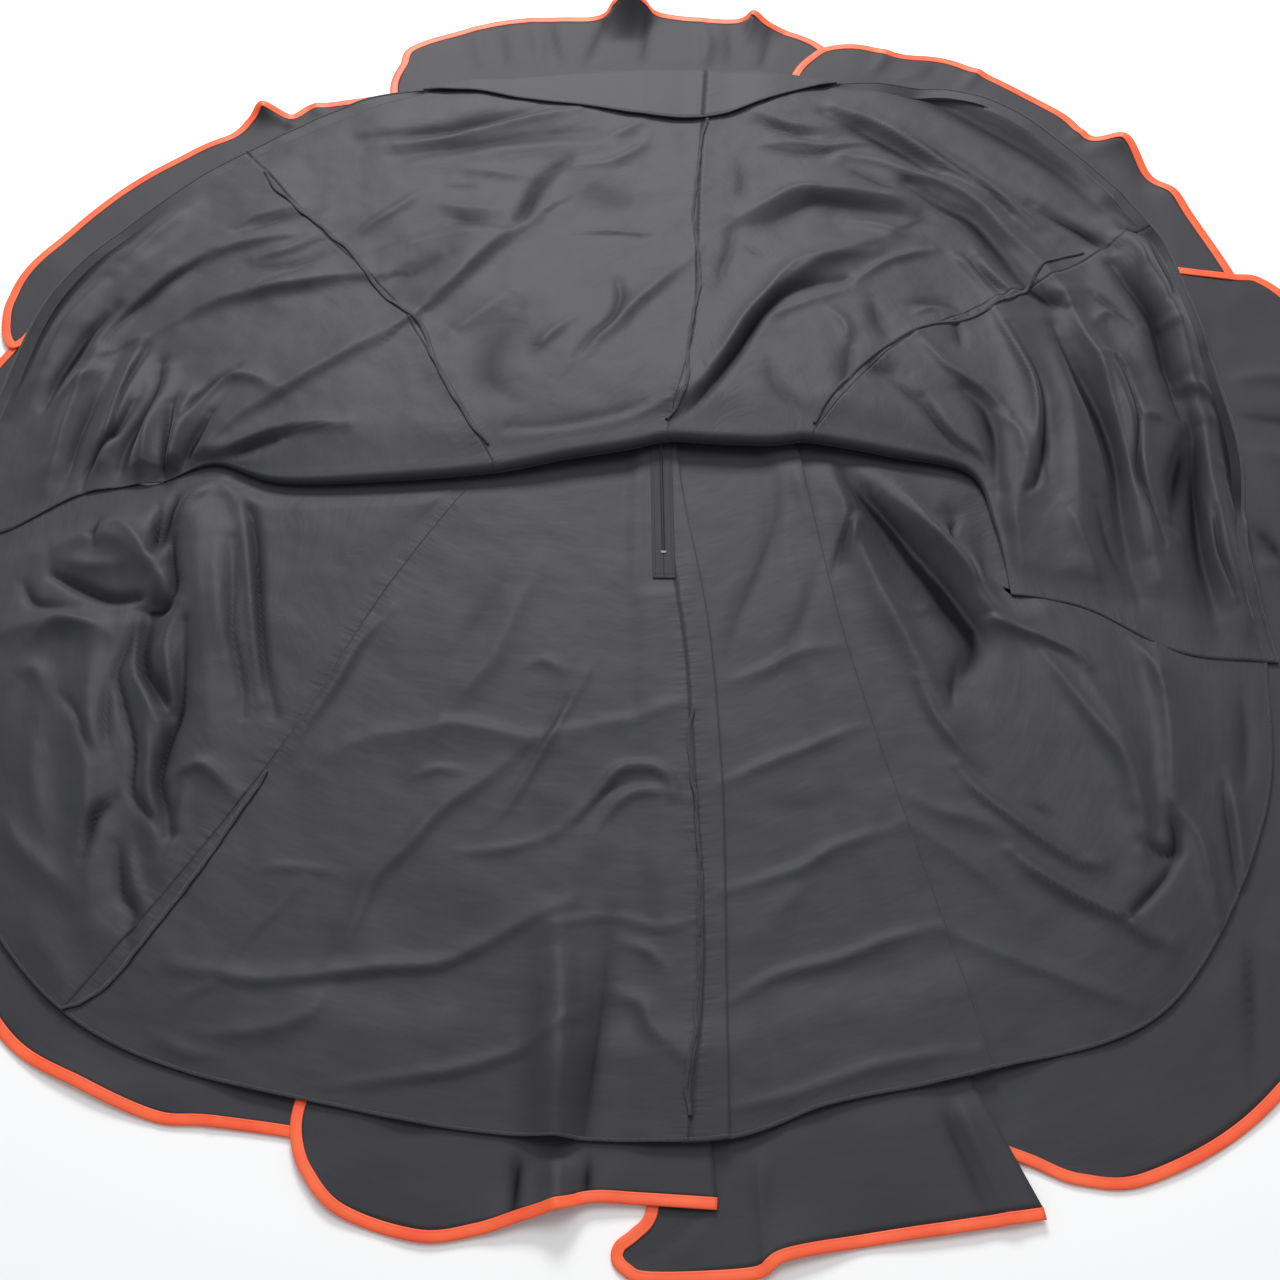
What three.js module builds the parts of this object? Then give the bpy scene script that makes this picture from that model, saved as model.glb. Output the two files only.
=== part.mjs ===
// A flamenco skirt laid out on a floor, inside up: eight flared gores, seven bound flounces under
// their hem, a closed back zip and a waistband. The back half lies towards -Y. The front half comes
// over from +Y, rolls under along a line near the middle and hides the waist.
import * as THREE from "three";

// ---- driving sizes, in millimetres and degrees ----
const WALL = 1.6; // cloth of the gores and flounces
const CLEAR = 0.3; // between pieces that meet
const PLEAT_LAYER = 2.2; // from one layer of a pleat to the next
const LAP_LIFT = 2.6; // rise of a flounce's end over its neighbour's bound edge
const FLOUNCE_ROOT = 70; // how far a flounce reaches in under the base hem
const FLOUNCE_REST = WALL + CLEAR; // a gore's height where it rests on one flounce
const LAP_REST = 3.6; // added where two flounces lie on each other
const BINDING = { wide: 11, thick: 2.3 };
const ZIP = { tape: 12.5, tapeThick: 0.8, coil: 3.6, coilHigh: 1.6, sliderLong: 10, sliderWide: 8 };
const BAND = { wide: 35, thick: 2.4, half: 176, seam: 1.2 };
const HEM_FLAP_RADIUS = 3.5; // roll at the upturned front hem
const PLEAT_DEPTH = 34; // hidden width of the centre back pleat
const SEAM_PLEAT_DEPTH = 21; // hidden width of the pleat beside the right back seam

const COLOURS = { inside: 0x3f4045, flounce: 0x313237, binding: 0xff633c, zip: 0x2a2b2d };

// ---- small tools ----
const rad = THREE.MathUtils.degToRad;
const lerp = THREE.MathUtils.lerp;
const smooth = THREE.MathUtils.smoothstep;
const polar = (at, reach) => [reach * Math.cos(rad(at)), reach * Math.sin(rad(at))];

// A table with named columns, one object for each row.
function table(columns, rows) {
  return rows.map((row) => Object.fromEntries(columns.map((name, i) => [name, row[i]])));
}

// A smooth curve through plan points, evenly spaced in t from 0 to 1.
function curve(points) {
  const through = points.map(([x, y, z = 0]) => new THREE.Vector3(x, y, z));
  return new THREE.CatmullRomCurve3(through, false, "catmullrom", 0.5);
}

// A value that varies smoothly through a list of evenly spaced values, t from 0 to 1.
function graded(values) {
  const line = curve(values.map((value, i) => [i, value]));
  return (t) => line.getPoint(THREE.MathUtils.clamp(t, 0, 1)).y;
}

// ---- the base hem, as a reach from the middle at each direction ----
const HEM = table(["at", "reach"], [
  [-19.3, 715], [-9, 674], [5, 692], [24, 722], [34, 774], [46, 795], [57, 805], [64, 806],
  [69, 764], [84.7, 751], [101.5, 753], [112, 788], [118.5, 784], [126, 788], [134.5, 800], [145, 812],
  [157, 823], [171, 800], [186, 804], [203, 835], [222, 856], [230.2, 849], [246, 797],
  [258, 769], [275, 768], [284.6, 752], [296, 772], [309, 810], [317, 812], [331, 748],
  [340.7, 715], [351, 674],
]);

function hemReach(angle) {
  let at = angle;
  while (at < HEM[0].at) at += 360;
  while (at > HEM[HEM.length - 1].at) at -= 360;
  const next = Math.max(1, HEM.findIndex((row) => row.at >= at));
  const before = HEM[next - 1];
  const share = (at - before.at) / (HEM[next].at - before.at);
  return lerp(before.reach, HEM[next].reach, smooth(share, 0, 1));
}

// ---- the flounces ----
// Each bound outline runs from the root at one end, round to the root at the other. A shaped end
// takes the first or last four spans of the outline; a plain end is cut straight and hidden.
// From lapFrom on, and up to lapTo, the flounce lies on its neighbour's end.
const OUTLINE = ["at", "reach", "lift"];
const FLOUNCES = {
  front_right: { shapedEnd: true, lapFrom: 70.8, outline: table(OUTLINE, [
    [23.4, 816, 0], [27, 826, 0], [32.6, 842, 3], [35.6, 852, 8], [38.6, 852, 2], [42.6, 868, 22],
    [45.6, 852, 2], [50, 869, 0], [60.8, 882, 0], [66, 864, 0], [70.5, 856, 0], [73.3, 838, 0],
    [74.5, 812, 0], [75.3, 784, 0], [75.6, 756, 0], [75.6, 728, 0],
  ]) },
  front: { shapedEnd: true, lapFrom: 114, outline: table(OUTLINE, [
    [71.5, 822, 0], [74.5, 850, 0], [77.4, 864, 0], [79.4, 872, 8], [81, 880, 18], [82.8, 875, 3],
    [89.6, 884, 2], [91.4, 886, 26], [92.9, 888, 50], [94.4, 885, 26], [96.4, 884, 1],
    [105, 901, 0], [113.6, 886, 0], [116, 851, 0], [117.7, 820, 0], [118.6, 790, 0],
    [118.9, 760, 0],
  ]) },
  front_left: { shapedEnd: true, lapFrom: 157, outline: table(OUTLINE, [
    [115.2, 790, 0], [118.5, 802, 0], [123, 822, 0], [126, 838, 0], [128, 838, 0], [129.8, 866, 20],
    [131.6, 864, 6], [134, 858, 0], [138, 870, 0], [146, 885, 0], [156, 891, 0],
    [160.6, 880, 0], [163.4, 862, 0], [165, 845, 0], [165.5, 829, 0], [164.6, 818, 0],
    [162.9, 814, 0], [160.6, 806, 0],
  ]) },
  left: { outline: table(OUTLINE, [
    [157.6, 815, 0], [162, 829, 0], [170, 848, 0], [178, 868, 0], [186, 862, 12], [194, 872, 0],
    [203, 874, 9], [212, 884, 0], [221, 892, 0], [229, 905, 0], [235, 888, 4], [240, 872, 0],
    [243, 851, 0], [248, 827, 0], [250.6, 822, 0],
  ]) },
  back_left: { shapedStart: true, lapTo: 251.3, lapFrom: 268.4, outline: table(OUTLINE, [
    [247.6, 745, 0], [247.2, 774, 0], [247.4, 802, 0], [248.3, 828, 0], [250, 852, 0],
    [253, 873, 0], [258, 875, 0], [261.4, 859, 2], [264, 842, 9], [266.4, 830, 10],
    [268, 821, 3], [271, 821, 0], [275.7, 828, 0],
  ]) },
  back_right: { shapedStart: true, lapFrom: 287.9, outline: table(OUTLINE, [
    [271.4, 792, 0], [271.3, 826, 0], [270.4, 841, 0], [269.5, 852, 0], [269.3, 866, 0],
    [270, 879, 0], [271.6, 887, 0], [277.4, 889, 3], [279.4, 878, 7], [284, 878, 0],
    [289.3, 889, 0], [294.2, 906, 0],
  ]) },
  right: { shapedStart: true, shapedEnd: true, lapFrom: 382.6, outline: table(OUTLINE, [
    [288.9, 780, 0], [290.6, 804, 0], [292.6, 828, 0], [294.8, 858, 0], [297, 893, 0],
    [300.6, 921, 0], [308, 933, 0], [318, 924, 0], [326, 912, 10], [334, 904, 0], [343, 898, 0],
    [351, 893, 12], [359, 888, 0], [367, 880, 4], [374, 870, 0], [380, 860, 0], [383.5, 843, 0],
    [384.7, 818, 0], [385.8, 796, 0], [387.1, 772, 0], [388.6, 748, 0],
  ]) },
};

// ---- lines of the back half, from the hem to the waist; the waist is a place across it ----
const backWaist = (x) => 120 + 30 * (x / 175) ** 2;
const frontWaist = (x) => 192 - 42 * (x / 175) ** 2;
const ALONG_BACK = ["at", "low", "mid", "high", "top", "under", "waist"];
const BACK_LINES = table(ALONG_BACK, [
  [186, [-740, -72], [-672, -20], [-620, -6], [-565, 0], [-470, 78], -175], // left side seam
  [208, [-615, -300], [-490, -205], [-370, -100], [-250, 10], [-205, 84], -130],
  [230.2, [-450, -497], [-364, -335], [-292, -163], [-207, -8], [-145, 66], -87], // left back seam
  [252.2, [-200, -570], [-160, -390], [-120, -210], [-80, -35], [-58, 50], -38],
  [274.2, [70, -590], [60, -412], [49, -236], [24, -60], [18, 32], 12], // centre back seam
  [284.6, [190, -560], [165, -390], [140, -220], [110, -50], [98, 40], 60],
  [296, [300, -530], [256, -360], [218, -190], [188, -10], [172, 62], 102], // right back seam
  [309, [450, -490], [388, -345], [322, -200], [252, -20], [246, 62], 130],
  [326, [562, -352], [476, -262], [382, -172], [300, -30], [340, 52], 155],
  [340.7, [585, -226], [500, -172], [450, -156], [410, -150], [425, 0], 175], // right side seam
]);

// ---- lines of the front half, from the hem to where it rolls under ----
const ALONG_FRONT = ["at", "low", "mid", "high", "roll", "puff", "flap"];
const FRONT_LINES = table(ALONG_FRONT, [
  [-19.3, [585, -226], [500, -172], [450, -156], [410, -150], 5, -10], // right side seam
  [-9, [600, -95], [530, -85], [460, -75], [403, -62], 9, -10],
  [5, [620, 72], [545, 50], [460, 25], [381, 16], 15, -10],
  [22, [585, 232], [500, 190], [400, 128], [290, 43], 21, -10],
  [33.5, [540, 352], [425, 286], [300, 198], [197, 60], 26, -10], // right front seam
  [46, [450, 440], [350, 330], [250, 212], [168, 58], 27, -10],
  [57, [365, 520], [285, 372], [205, 226], [140, 55], 27, -10],
  [69, [228, 560], [180, 402], [130, 236], [84, 57], 27, -8],
  [84.7, [62, 565], [58, 382], [54, 222], [25, 60], 27, 102], // centre front seam
  [101.5, [-110, 572], [-75, 402], [-50, 236], [-25, 47], 27, 62],
  [118.5, [-300, 542], [-230, 380], [-165, 216], [-95, 34], 25, -10],
  [134.5, [-455, 436], [-335, 296], [-262, 170], [-180, 16], 21, -10], // left front seam
  [145, [-560, 390], [-470, 300], [-385, 190], [-310, 2], 18, -10],
  [158, [-660, 270], [-580, 215], [-510, 130], [-430, -2], 14, -10],
  [171, [-725, 105], [-660, 82], [-600, 50], [-510, 24], 9, -10],
  [186, [-740, -72], [-672, -20], [-620, -6], [-565, 0], 5, -10], // left side seam
]);

// ---- the largest folds, each a rounded ridge along a curve through three plan points ----
const FOLDS = table(["from", "via", "to", "high", "half"], [
  [[440, 285], [462, 110], [418, -70], 16, 17], // bunched side front, right
  [[522, 300], [576, 100], [590, -140], 19, 16],
  [[500, 240], [505, 80], [488, -120], 12, 18],
  [[600, 430], [648, 250], [655, 110], 24, 20],
  [[660, 90], [655, 0], [664, -205], 20, 16],
  [[330, 728], [478, 642], [606, 486], 13, 15], // along the far right hem
  [[262, 664], [408, 528], [512, 352], 12, 17],
  [[300, 560], [392, 450], [452, 330], 8, 18],
  [[52, 110], [165, 300], [312, 412], 15, 24], // long sweep beside the centre front
  [[100, 452], [250, 500], [420, 402], 8, 22],
  [[-90, 560], [-150, 440], [-276, 272], 8, 22],
  [[-300, 262], [-420, 176], [-552, 36], 12, 18],
  [[-705, 240], [-610, 362], [-440, 442], 10, 19],
  [[-655, 222], [-545, 292], [-370, 334], 8, 17],
  [[-690, 190], [-700, 90], [-706, -20], 15, 14], // bunched side front, left
  [[-640, 210], [-645, 90], [-650, -10], 17, 12],
  [[-598, 170], [-602, 80], [-600, -10], 15, 11],
  [[-690, -112], [-618, -92], [-540, -150], 28, 34], // rounded lump over the left side
  [[-528, -20], [-496, -160], [-440, -392], 11, 28],
  [[-548, -210], [-512, -380], [-480, -500], 11, 12],
  [[-604, -230], [-572, -400], [-532, -566], 14, 17],
  [[-720, -232], [-650, -208], [-580, -212], 9, 15],
  [[-66, -748], [-62, -650], [-72, -560], 11, 20], // flute at the near hem
  [[-400, -612], [-250, -602], [-90, -550], 5, 20],
  [[270, -12], [346, -110], [392, -196], 13, 17], // side back, right
  [[302, -276], [362, -400], [462, -484], 7, 16],
  [[374, -464], [450, -530], [524, -562], 6, 15],
  [[566, -176], [552, -320], [534, -462], 9, 16],
]).map((fold) => ({ ...fold, line: curve([fold.from, fold.via, fold.to]).getPoints(10) }));

const ROLL_LINE = curve(FRONT_LINES.map((line) => line.roll)).getPoints(60);

// How far a plan point lies out from the roll line, over the back half; negative behind it.
function outFromRoll(x, y) {
  let nearest = Infinity;
  let out = 0;
  ROLL_LINE.forEach((point, i) => {
    const away = Math.hypot(point.x - x, point.y - y);
    if (away >= nearest) return;
    nearest = away;
    const next = ROLL_LINE[Math.min(i + 1, ROLL_LINE.length - 1)];
    const before = ROLL_LINE[Math.max(i - 1, 0)];
    const way = next.clone().sub(before).normalize();
    out = (y - point.y) * way.x - (x - point.x) * way.y;
  });
  return out;
}

// Height of all folds at a plan point. They die out at their ends.
function foldHeight(x, y) {
  let height = 0;
  for (const { line, high, half } of FOLDS) {
    let nearest = Infinity;
    let where = 0;
    line.forEach((point, i) => {
      const away = Math.hypot(point.x - x, point.y - y);
      if (away < nearest) {
        nearest = away;
        where = i / (line.length - 1);
      }
    });
    if (nearest > 3 * half) continue;
    const ends = Math.sqrt(Math.sin(Math.PI * lerp(0.08, 0.92, where)));
    height += high * ends * Math.exp(-((nearest / half) ** 2));
  }
  return height;
}

// Where two flounces lie on each other, as a first and a last direction.
const LAPS = table(["first", "last"], [
  [67, 78], [110.5, 121], [153, 167.5], [244.5, 254], [265, 278.5], [284, 297], [379, 391],
]);
const LAP_EASE = 4; // degrees over which a gore settles beside a lap
const SETTLED = 125; // inside the hem by this, a gore lies clear of every flounce

// How far a gore lies above the floor for the flounces under it.
function flounceHeight(x, y) {
  const at = (THREE.MathUtils.radToDeg(Math.atan2(y, x)) + 360) % 360;
  const inside = hemReach(at) - Math.hypot(x, y);
  let doubled = 0;
  for (const { first, last } of LAPS) {
    const along = ((at - first + 540) % 360) - 180;
    const span = last - first;
    const into = smooth(along, -LAP_EASE, 0) * (1 - smooth(along, span, span + LAP_EASE));
    doubled = Math.max(doubled, into);
  }
  return (FLOUNCE_REST + LAP_REST * doubled) * (1 - smooth(inside, FLOUNCE_ROOT + 6, SETTLED));
}

// ---- closed bodies ----
function bodyFrom(vertices, triangles) {
  const geometry = new THREE.BufferGeometry();
  geometry.setAttribute("position", new THREE.Float32BufferAttribute(vertices, 3));
  geometry.setIndex(triangles);
  geometry.computeVertexNormals();
  return geometry;
}

// Unit normals of a grid of points, from each point's neighbours.
function gridNormals(grid) {
  const last = grid.length - 1;
  return grid.map((column, i) => column.map((_, j) => {
    const end = column.length - 1;
    const across = grid[Math.min(i + 1, last)][j].clone().sub(grid[Math.max(i - 1, 0)][j]);
    const along = column[Math.min(j + 1, end)].clone().sub(column[Math.max(j - 1, 0)]);
    return across.cross(along).normalize();
  }));
}

// A wall of one thickness about a grid of middle points, never lower than the floor.
function wall(grid, normals, thick) {
  const vertices = [];
  const rows = grid[0].length;
  for (const side of [0.5, -0.5]) {
    grid.forEach((column, i) => column.forEach((point, j) => {
      const moved = point.clone().addScaledVector(normals[i][j], side * thick);
      vertices.push(moved.x, moved.y, Math.max(moved.z, 0));
    }));
  }
  const under = grid.length * rows;
  const triangles = [];
  const quad = (a, b, c, d) => triangles.push(a, b, c, a, c, d);
  for (let i = 0; i + 1 < grid.length; i++) {
    for (let j = 0; j + 1 < rows; j++) {
      const a = i * rows + j;
      const b = a + rows;
      const [c, d] = [b + 1, a + 1];
      quad(a, b, c, d);
      quad(under + a, under + d, under + c, under + b);
    }
  }
  const rim = [];
  for (let i = 0; i < grid.length; i++) rim.push(i * rows);
  for (let j = 1; j < rows; j++) rim.push((grid.length - 1) * rows + j);
  for (let i = grid.length - 2; i >= 0; i--) rim.push(i * rows + rows - 1);
  for (let j = rows - 2; j > 0; j--) rim.push(j);
  rim.forEach((a, k) => {
    const b = rim[(k + 1) % rim.length];
    quad(a, under + a, under + b, b);
  });
  return bodyFrom(vertices, triangles);
}

// A body through matching closed sections, with flat ends, or closed on itself.
function loft(sections, ring = false) {
  const vertices = sections.flat().flat();
  const sides = sections[0].length;
  const triangles = [];
  const spans = ring ? sections.length : sections.length - 1;
  for (let k = 0; k < spans; k++) {
    const next = (k + 1) % sections.length;
    for (let i = 0; i < sides; i++) {
      const along = (i + 1) % sides;
      const [a, b, c, d] = [k * sides + i, k * sides + along, next * sides + along, next * sides + i];
      triangles.push(a, b, c, a, c, d);
    }
  }
  if (!ring) {
    const far = (sections.length - 1) * sides;
    const cap = THREE.ShapeUtils.triangulateShape(flattened(sections[0]), []);
    for (const [a, b, c] of cap) triangles.push(c, b, a, far + a, far + b, far + c);
  }
  return bodyFrom(vertices, triangles);
}

// A section in its own plane, seen so that its points run anticlockwise.
function flattened(section) {
  const [first, ...rest] = section.map((point) => new THREE.Vector3(...point));
  const normal = new THREE.Vector3();
  rest.slice(0, -1).forEach((point, i) => {
    const one = point.clone().sub(first);
    normal.add(one.cross(rest[i + 1].clone().sub(first)));
  });
  normal.normalize();
  const across = rest[0].clone().sub(first).normalize();
  const up = new THREE.Vector3().crossVectors(normal, across);
  return [first, ...rest].map((point) => new THREE.Vector2(point.dot(across), point.dot(up)));
}

const skirt = new THREE.Group();

function add(name, geometry, colour, roughness = 0.7) {
  const material = new THREE.MeshStandardMaterial({ color: colour, roughness, metalness: 0 });
  const mesh = new THREE.Mesh(geometry, material);
  mesh.name = name;
  skirt.add(mesh);
}

// ---- panels cut from a shared grid ----
// Splits a grid into named pieces at their seams, each edge CLEAR / 2 back from the seam itself.
function addPieces(grid, seams) {
  const normals = gridNormals(grid);
  for (const { name, first, last } of seams) {
    const mine = grid.slice(first, last + 1);
    const columns = mine.map((column) => column.map((point) => point.clone()));
    const inset = (edge, inner) => edge.forEach((point, j) => {
      const way = new THREE.Vector3().subVectors(inner[j], point).normalize();
      point.addScaledVector(way, CLEAR / 2);
    });
    inset(columns[0], columns[1]);
    inset(columns[columns.length - 1], columns[columns.length - 2]);
    add(name, wall(columns, normals.slice(first, last + 1), WALL), COLOURS.inside);
  }
}

// ---- back half ----
const TOP_AT = 0.8; // where along a line its place beside the roll lies
const backCurves = BACK_LINES.map(({ at, low, mid, high, top, under, waist }) =>
  curve([polar(at, hemReach(at)), low, mid, high, top, under, [waist, backWaist(waist)]]));

// A line's point at v. Its four outer spans take the first part of v and the two hidden ones the rest.
function onBackLine(one, v) {
  const spans = v < TOP_AT ? (4 * v) / TOP_AT : 4 + (2 * (v - TOP_AT)) / (1 - TOP_AT);
  return one.getPoint(spans / 6);
}

function backPoint(line, v) {
  const row = curve(backCurves.map((one) => onBackLine(one, v).toArray()));
  return row.getPoint(line / (BACK_LINES.length - 1));
}

// A place on a row, given as a distance from a numbered line. Distances shrink near the waist.
function beside(line, distance, v) {
  const shrunk = distance * lerp(1, 0.5, smooth(v, 0.55, 1));
  const other = line + (distance < 0 ? -1 : 1);
  const span = onBackLine(backCurves[line], v).distanceTo(onBackLine(backCurves[other], v));
  return line + Math.abs(shrunk / span) * Math.sign(distance);
}

const CENTRE_BACK = 4;
const RIGHT_BACK = 6;
const pleatEdge = graded([28, 15, 22, 24, 36, 34]);

// Columns of the back half, left to right: where each lies at v and its layer in a pleat.
function backColumns() {
  const columns = [];
  const put = (place, layer = 0) => columns.push({ place, layer });
  const spread = (from, to, steps) => {
    for (let k = 1; k <= steps; k++) put((v) => lerp(from(v), to(v), k / steps));
  };
  const on = (line) => () => line;
  const near = (line, distance) => (v) => beside(line, distance, v);
  const edge = (distance) => (v) => beside(CENTRE_BACK, pleatEdge(v) + distance, v);
  put(on(0));
  spread(on(0), on(2), 9);
  const leftSeam = columns.length - 1;
  spread(on(2), on(3), 3);
  spread(on(3), near(CENTRE_BACK, -78), 3);
  put(near(CENTRE_BACK, -40), 2);
  put(on(CENTRE_BACK), 2);
  const centreSeam = columns.length - 1;
  put(edge(-2.5), 2);
  put(edge(0), 1.5);
  put(edge(-2.5), 1);
  put(edge(3 - PLEAT_DEPTH), 1);
  put(edge(-PLEAT_DEPTH), 0.5);
  put(edge(3 - PLEAT_DEPTH), 0);
  put(edge(-12), 0);
  put(edge(8), 0);
  spread(edge(8), on(5), 2);
  spread(on(5), near(RIGHT_BACK, -78), 2);
  put(near(RIGHT_BACK, -40), 2);
  put(near(RIGHT_BACK, -2.5), 2);
  put(on(RIGHT_BACK), 1.5);
  put(near(RIGHT_BACK, -2.5), 1);
  put(near(RIGHT_BACK, -SEAM_PLEAT_DEPTH), 1);
  const rightSeam = columns.length - 1;
  put(near(RIGHT_BACK, -SEAM_PLEAT_DEPTH - 4), 0.5);
  put(near(RIGHT_BACK, -SEAM_PLEAT_DEPTH), 0);
  put(near(RIGHT_BACK, -7), 0);
  put(near(RIGHT_BACK, 8), 0);
  spread(near(RIGHT_BACK, 8), on(7), 3);
  spread(on(7), on(9), 7);
  const pieces = [
    { name: "side_back_left", first: 0, last: leftSeam },
    { name: "back_left", first: leftSeam, last: centreSeam },
    { name: "back_right", first: centreSeam, last: rightSeam },
    { name: "side_back_right", first: rightSeam, last: columns.length - 1 },
  ];
  return { columns, pieces };
}

const BACK_ROWS = [0, 0.045, 0.09, 0.13, 0.18, 0.24, 0.3, 0.36, 0.42, 0.48, 0.54, 0.6, 0.66, 0.72,
  0.78, 0.83, 0.88, 0.94, 1];

// Height of the middle of the back half's wall at a plan point. It lies flat from the roll on.
function backHeight(x, y) {
  const open = smooth(outFromRoll(x, y), 12, 48);
  return WALL / 2 + flounceHeight(x, y) + open * foldHeight(x, y);
}

function addBack() {
  const { columns, pieces } = backColumns();
  const grid = columns.map(({ place, layer }) => BACK_ROWS.map((v) => {
    const { x, y } = backPoint(place(v), v);
    return new THREE.Vector3(x, y, backHeight(x, y) + layer * PLEAT_LAYER);
  }));
  addPieces(grid, pieces);
}

// ---- front half ----
const beyondRoll = (high, roll) => roll.map((value, i) => value + (value - high[i]) * 0.8);
const frontCurves = FRONT_LINES.map(({ at, low, mid, high, roll }) =>
  curve([polar(at, hemReach(at)), low, mid, high, roll, beyondRoll(high, roll)]));
const ROLL_AT = 4 / 5; // share of the spans up to the roll
const puffAt = graded(FRONT_LINES.map((line) => line.puff));
const flapAt = graded(FRONT_LINES.map((line) => line.flap));
const FRONT_ROWS = [0.025, 0.08, 0.13, 0.18, 0.24, 0.31, 0.38, 0.45, 0.52, 0.59, 0.66, 0.73, 0.8,
  0.87, 0.94];
const ROLL_LIP = 16; // how far the roll carries on under itself
const LIP_HEIGHT = 3.6; // middle of the lip's wall where the roll is lowest
const FLAP_STEPS = [1, 0.5, 0.1];
const TURN_STEPS = [0, 60, 120, 180];

function frontPoint(line, v) {
  const row = curve(frontCurves.map((one) => one.getPoint(v * ROLL_AT).toArray()));
  return row.getPoint(line / (FRONT_LINES.length - 1));
}

// Each side seam is lapped: the front's edge lies on the back's.
function sideLap(line) {
  const fromSide = Math.min(line, FRONT_LINES.length - 1 - line);
  return (WALL + 3 * CLEAR) * (1 - smooth(fromSide, 0, 0.6));
}

function frontHeight(line, v, x, y) {
  const share = line / (FRONT_LINES.length - 1);
  const rise = puffAt(share) * smooth(v, 0.35, 1);
  const folds = foldHeight(x, y) * (1 - smooth(v, 0.86, 1));
  return WALL / 2 + flounceHeight(x, y) + sideLap(line) + rise + folds;
}

// Outward direction in plan at the roll, square to the line of the roll.
function rollOutward(line) {
  const step = 0.15;
  const last = FRONT_LINES.length - 1;
  const ahead = frontPoint(Math.min(line + step, last), 1);
  const behind = frontPoint(Math.max(line - step, 0), 1);
  const way = ahead.sub(behind).normalize();
  return new THREE.Vector3(-way.y, way.x, 0);
}

// One column of the front half: the upturned hem, the panel, and the roll with its lip.
function frontColumn(line) {
  const share = line / (FRONT_LINES.length - 1);
  const points = [];
  const hem = frontPoint(line, 0);
  const inward = frontPoint(line, 0.06).sub(hem).normalize();
  const flap = flapAt(share);
  const turned = smooth(flap, -10, 12);
  const hemHeight = frontHeight(line, 0, hem.x, hem.y);
  for (const part of FLAP_STEPS) {
    const point = hem.clone().addScaledVector(inward, flap * part + 4 * turned);
    point.z = hemHeight + 2 * HEM_FLAP_RADIUS * turned;
    points.push(point);
  }
  for (const angle of [45, 90, 135]) {
    const point = hem.clone().addScaledVector(inward, -HEM_FLAP_RADIUS * turned * Math.sin(rad(angle)));
    point.addScaledVector(inward, 4 * turned + (1 - turned) * (angle - 45) * 0.06);
    point.z = hemHeight + HEM_FLAP_RADIUS * turned * (1 + Math.cos(rad(angle)));
    points.push(point);
  }
  for (const v of FRONT_ROWS) {
    const point = frontPoint(line, v);
    point.z = frontHeight(line, v, point.x, point.y);
    points.push(point);
  }
  const end = frontPoint(line, 1);
  const top = frontHeight(line, 1, end.x, end.y);
  const radius = Math.min(9, (top - LIP_HEIGHT) / 2);
  const outward = rollOutward(line);
  for (const angle of TURN_STEPS) {
    const point = end.clone().addScaledVector(outward, radius * Math.sin(rad(angle)));
    point.z = top - radius + radius * Math.cos(rad(angle));
    points.push(point);
  }
  for (const part of [0.5, 1]) {
    const point = end.clone().addScaledVector(outward, -ROLL_LIP * part * smooth(radius, 0, 6));
    point.z = top - 2 * radius - (1 - smooth(radius, 0, 6)) * 0.4 * part;
    points.push(point);
  }
  return points;
}

const RIGHT_FRONT = 4;
const CENTRE_FRONT = 8;
const LEFT_FRONT = 11;

function addFront() {
  const places = [];
  const spread = (from, to, steps) => {
    for (let k = 0; k < steps; k++) places.push(lerp(from, to, k / steps));
    return places.length;
  };
  const right = spread(0, RIGHT_FRONT, 12);
  const centre = spread(RIGHT_FRONT, CENTRE_FRONT, 10);
  const left = spread(CENTRE_FRONT, LEFT_FRONT, 9);
  spread(LEFT_FRONT, FRONT_LINES.length - 1, 10);
  places.push(FRONT_LINES.length - 1);
  addPieces(places.map(frontColumn), [
    { name: "side_front_right", first: 0, last: right },
    { name: "front_right", first: right, last: centre },
    { name: "front_left", first: centre, last: left },
    { name: "side_front_left", first: left, last: places.length - 1 },
  ]);
}

// ---- flounces and their bindings ----
const FLOUNCE_ROWS = [0, 0.25, 0.5, 0.75, 0.94, 1];
const END_ROWS = 4; // spans of the outline in a shaped end
const END_REACH = 130; // how far a shaped end bends the rows beside it
const UNDER_HEM = FLOUNCE_ROOT + 18; // a flounce lies flat this far out from its root
const FLAT_SHARE = 0.75; // and for at least this share of its width
const RIM_CLEAR = 0.8; // between a flounce and its binding, in plan

const rootPoint = (at) => new THREE.Vector3(...polar(at, hemReach(at) - FLOUNCE_ROOT), 0);

// The direction of a plan point, continuing on from a first direction.
function directionOf({ x, y }, first) {
  const at = THREE.MathUtils.radToDeg(Math.atan2(y, x));
  return at + 360 * Math.ceil((first - 90 - at) / 360);
}

// How high a flounce lies for the neighbours' ends under it.
function lapHeight({ lapFrom = Infinity, lapTo = -Infinity }, at) {
  return LAP_LIFT * Math.max(smooth(at, lapFrom - 5, lapFrom), 1 - smooth(at, lapTo, lapTo + 5));
}

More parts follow.
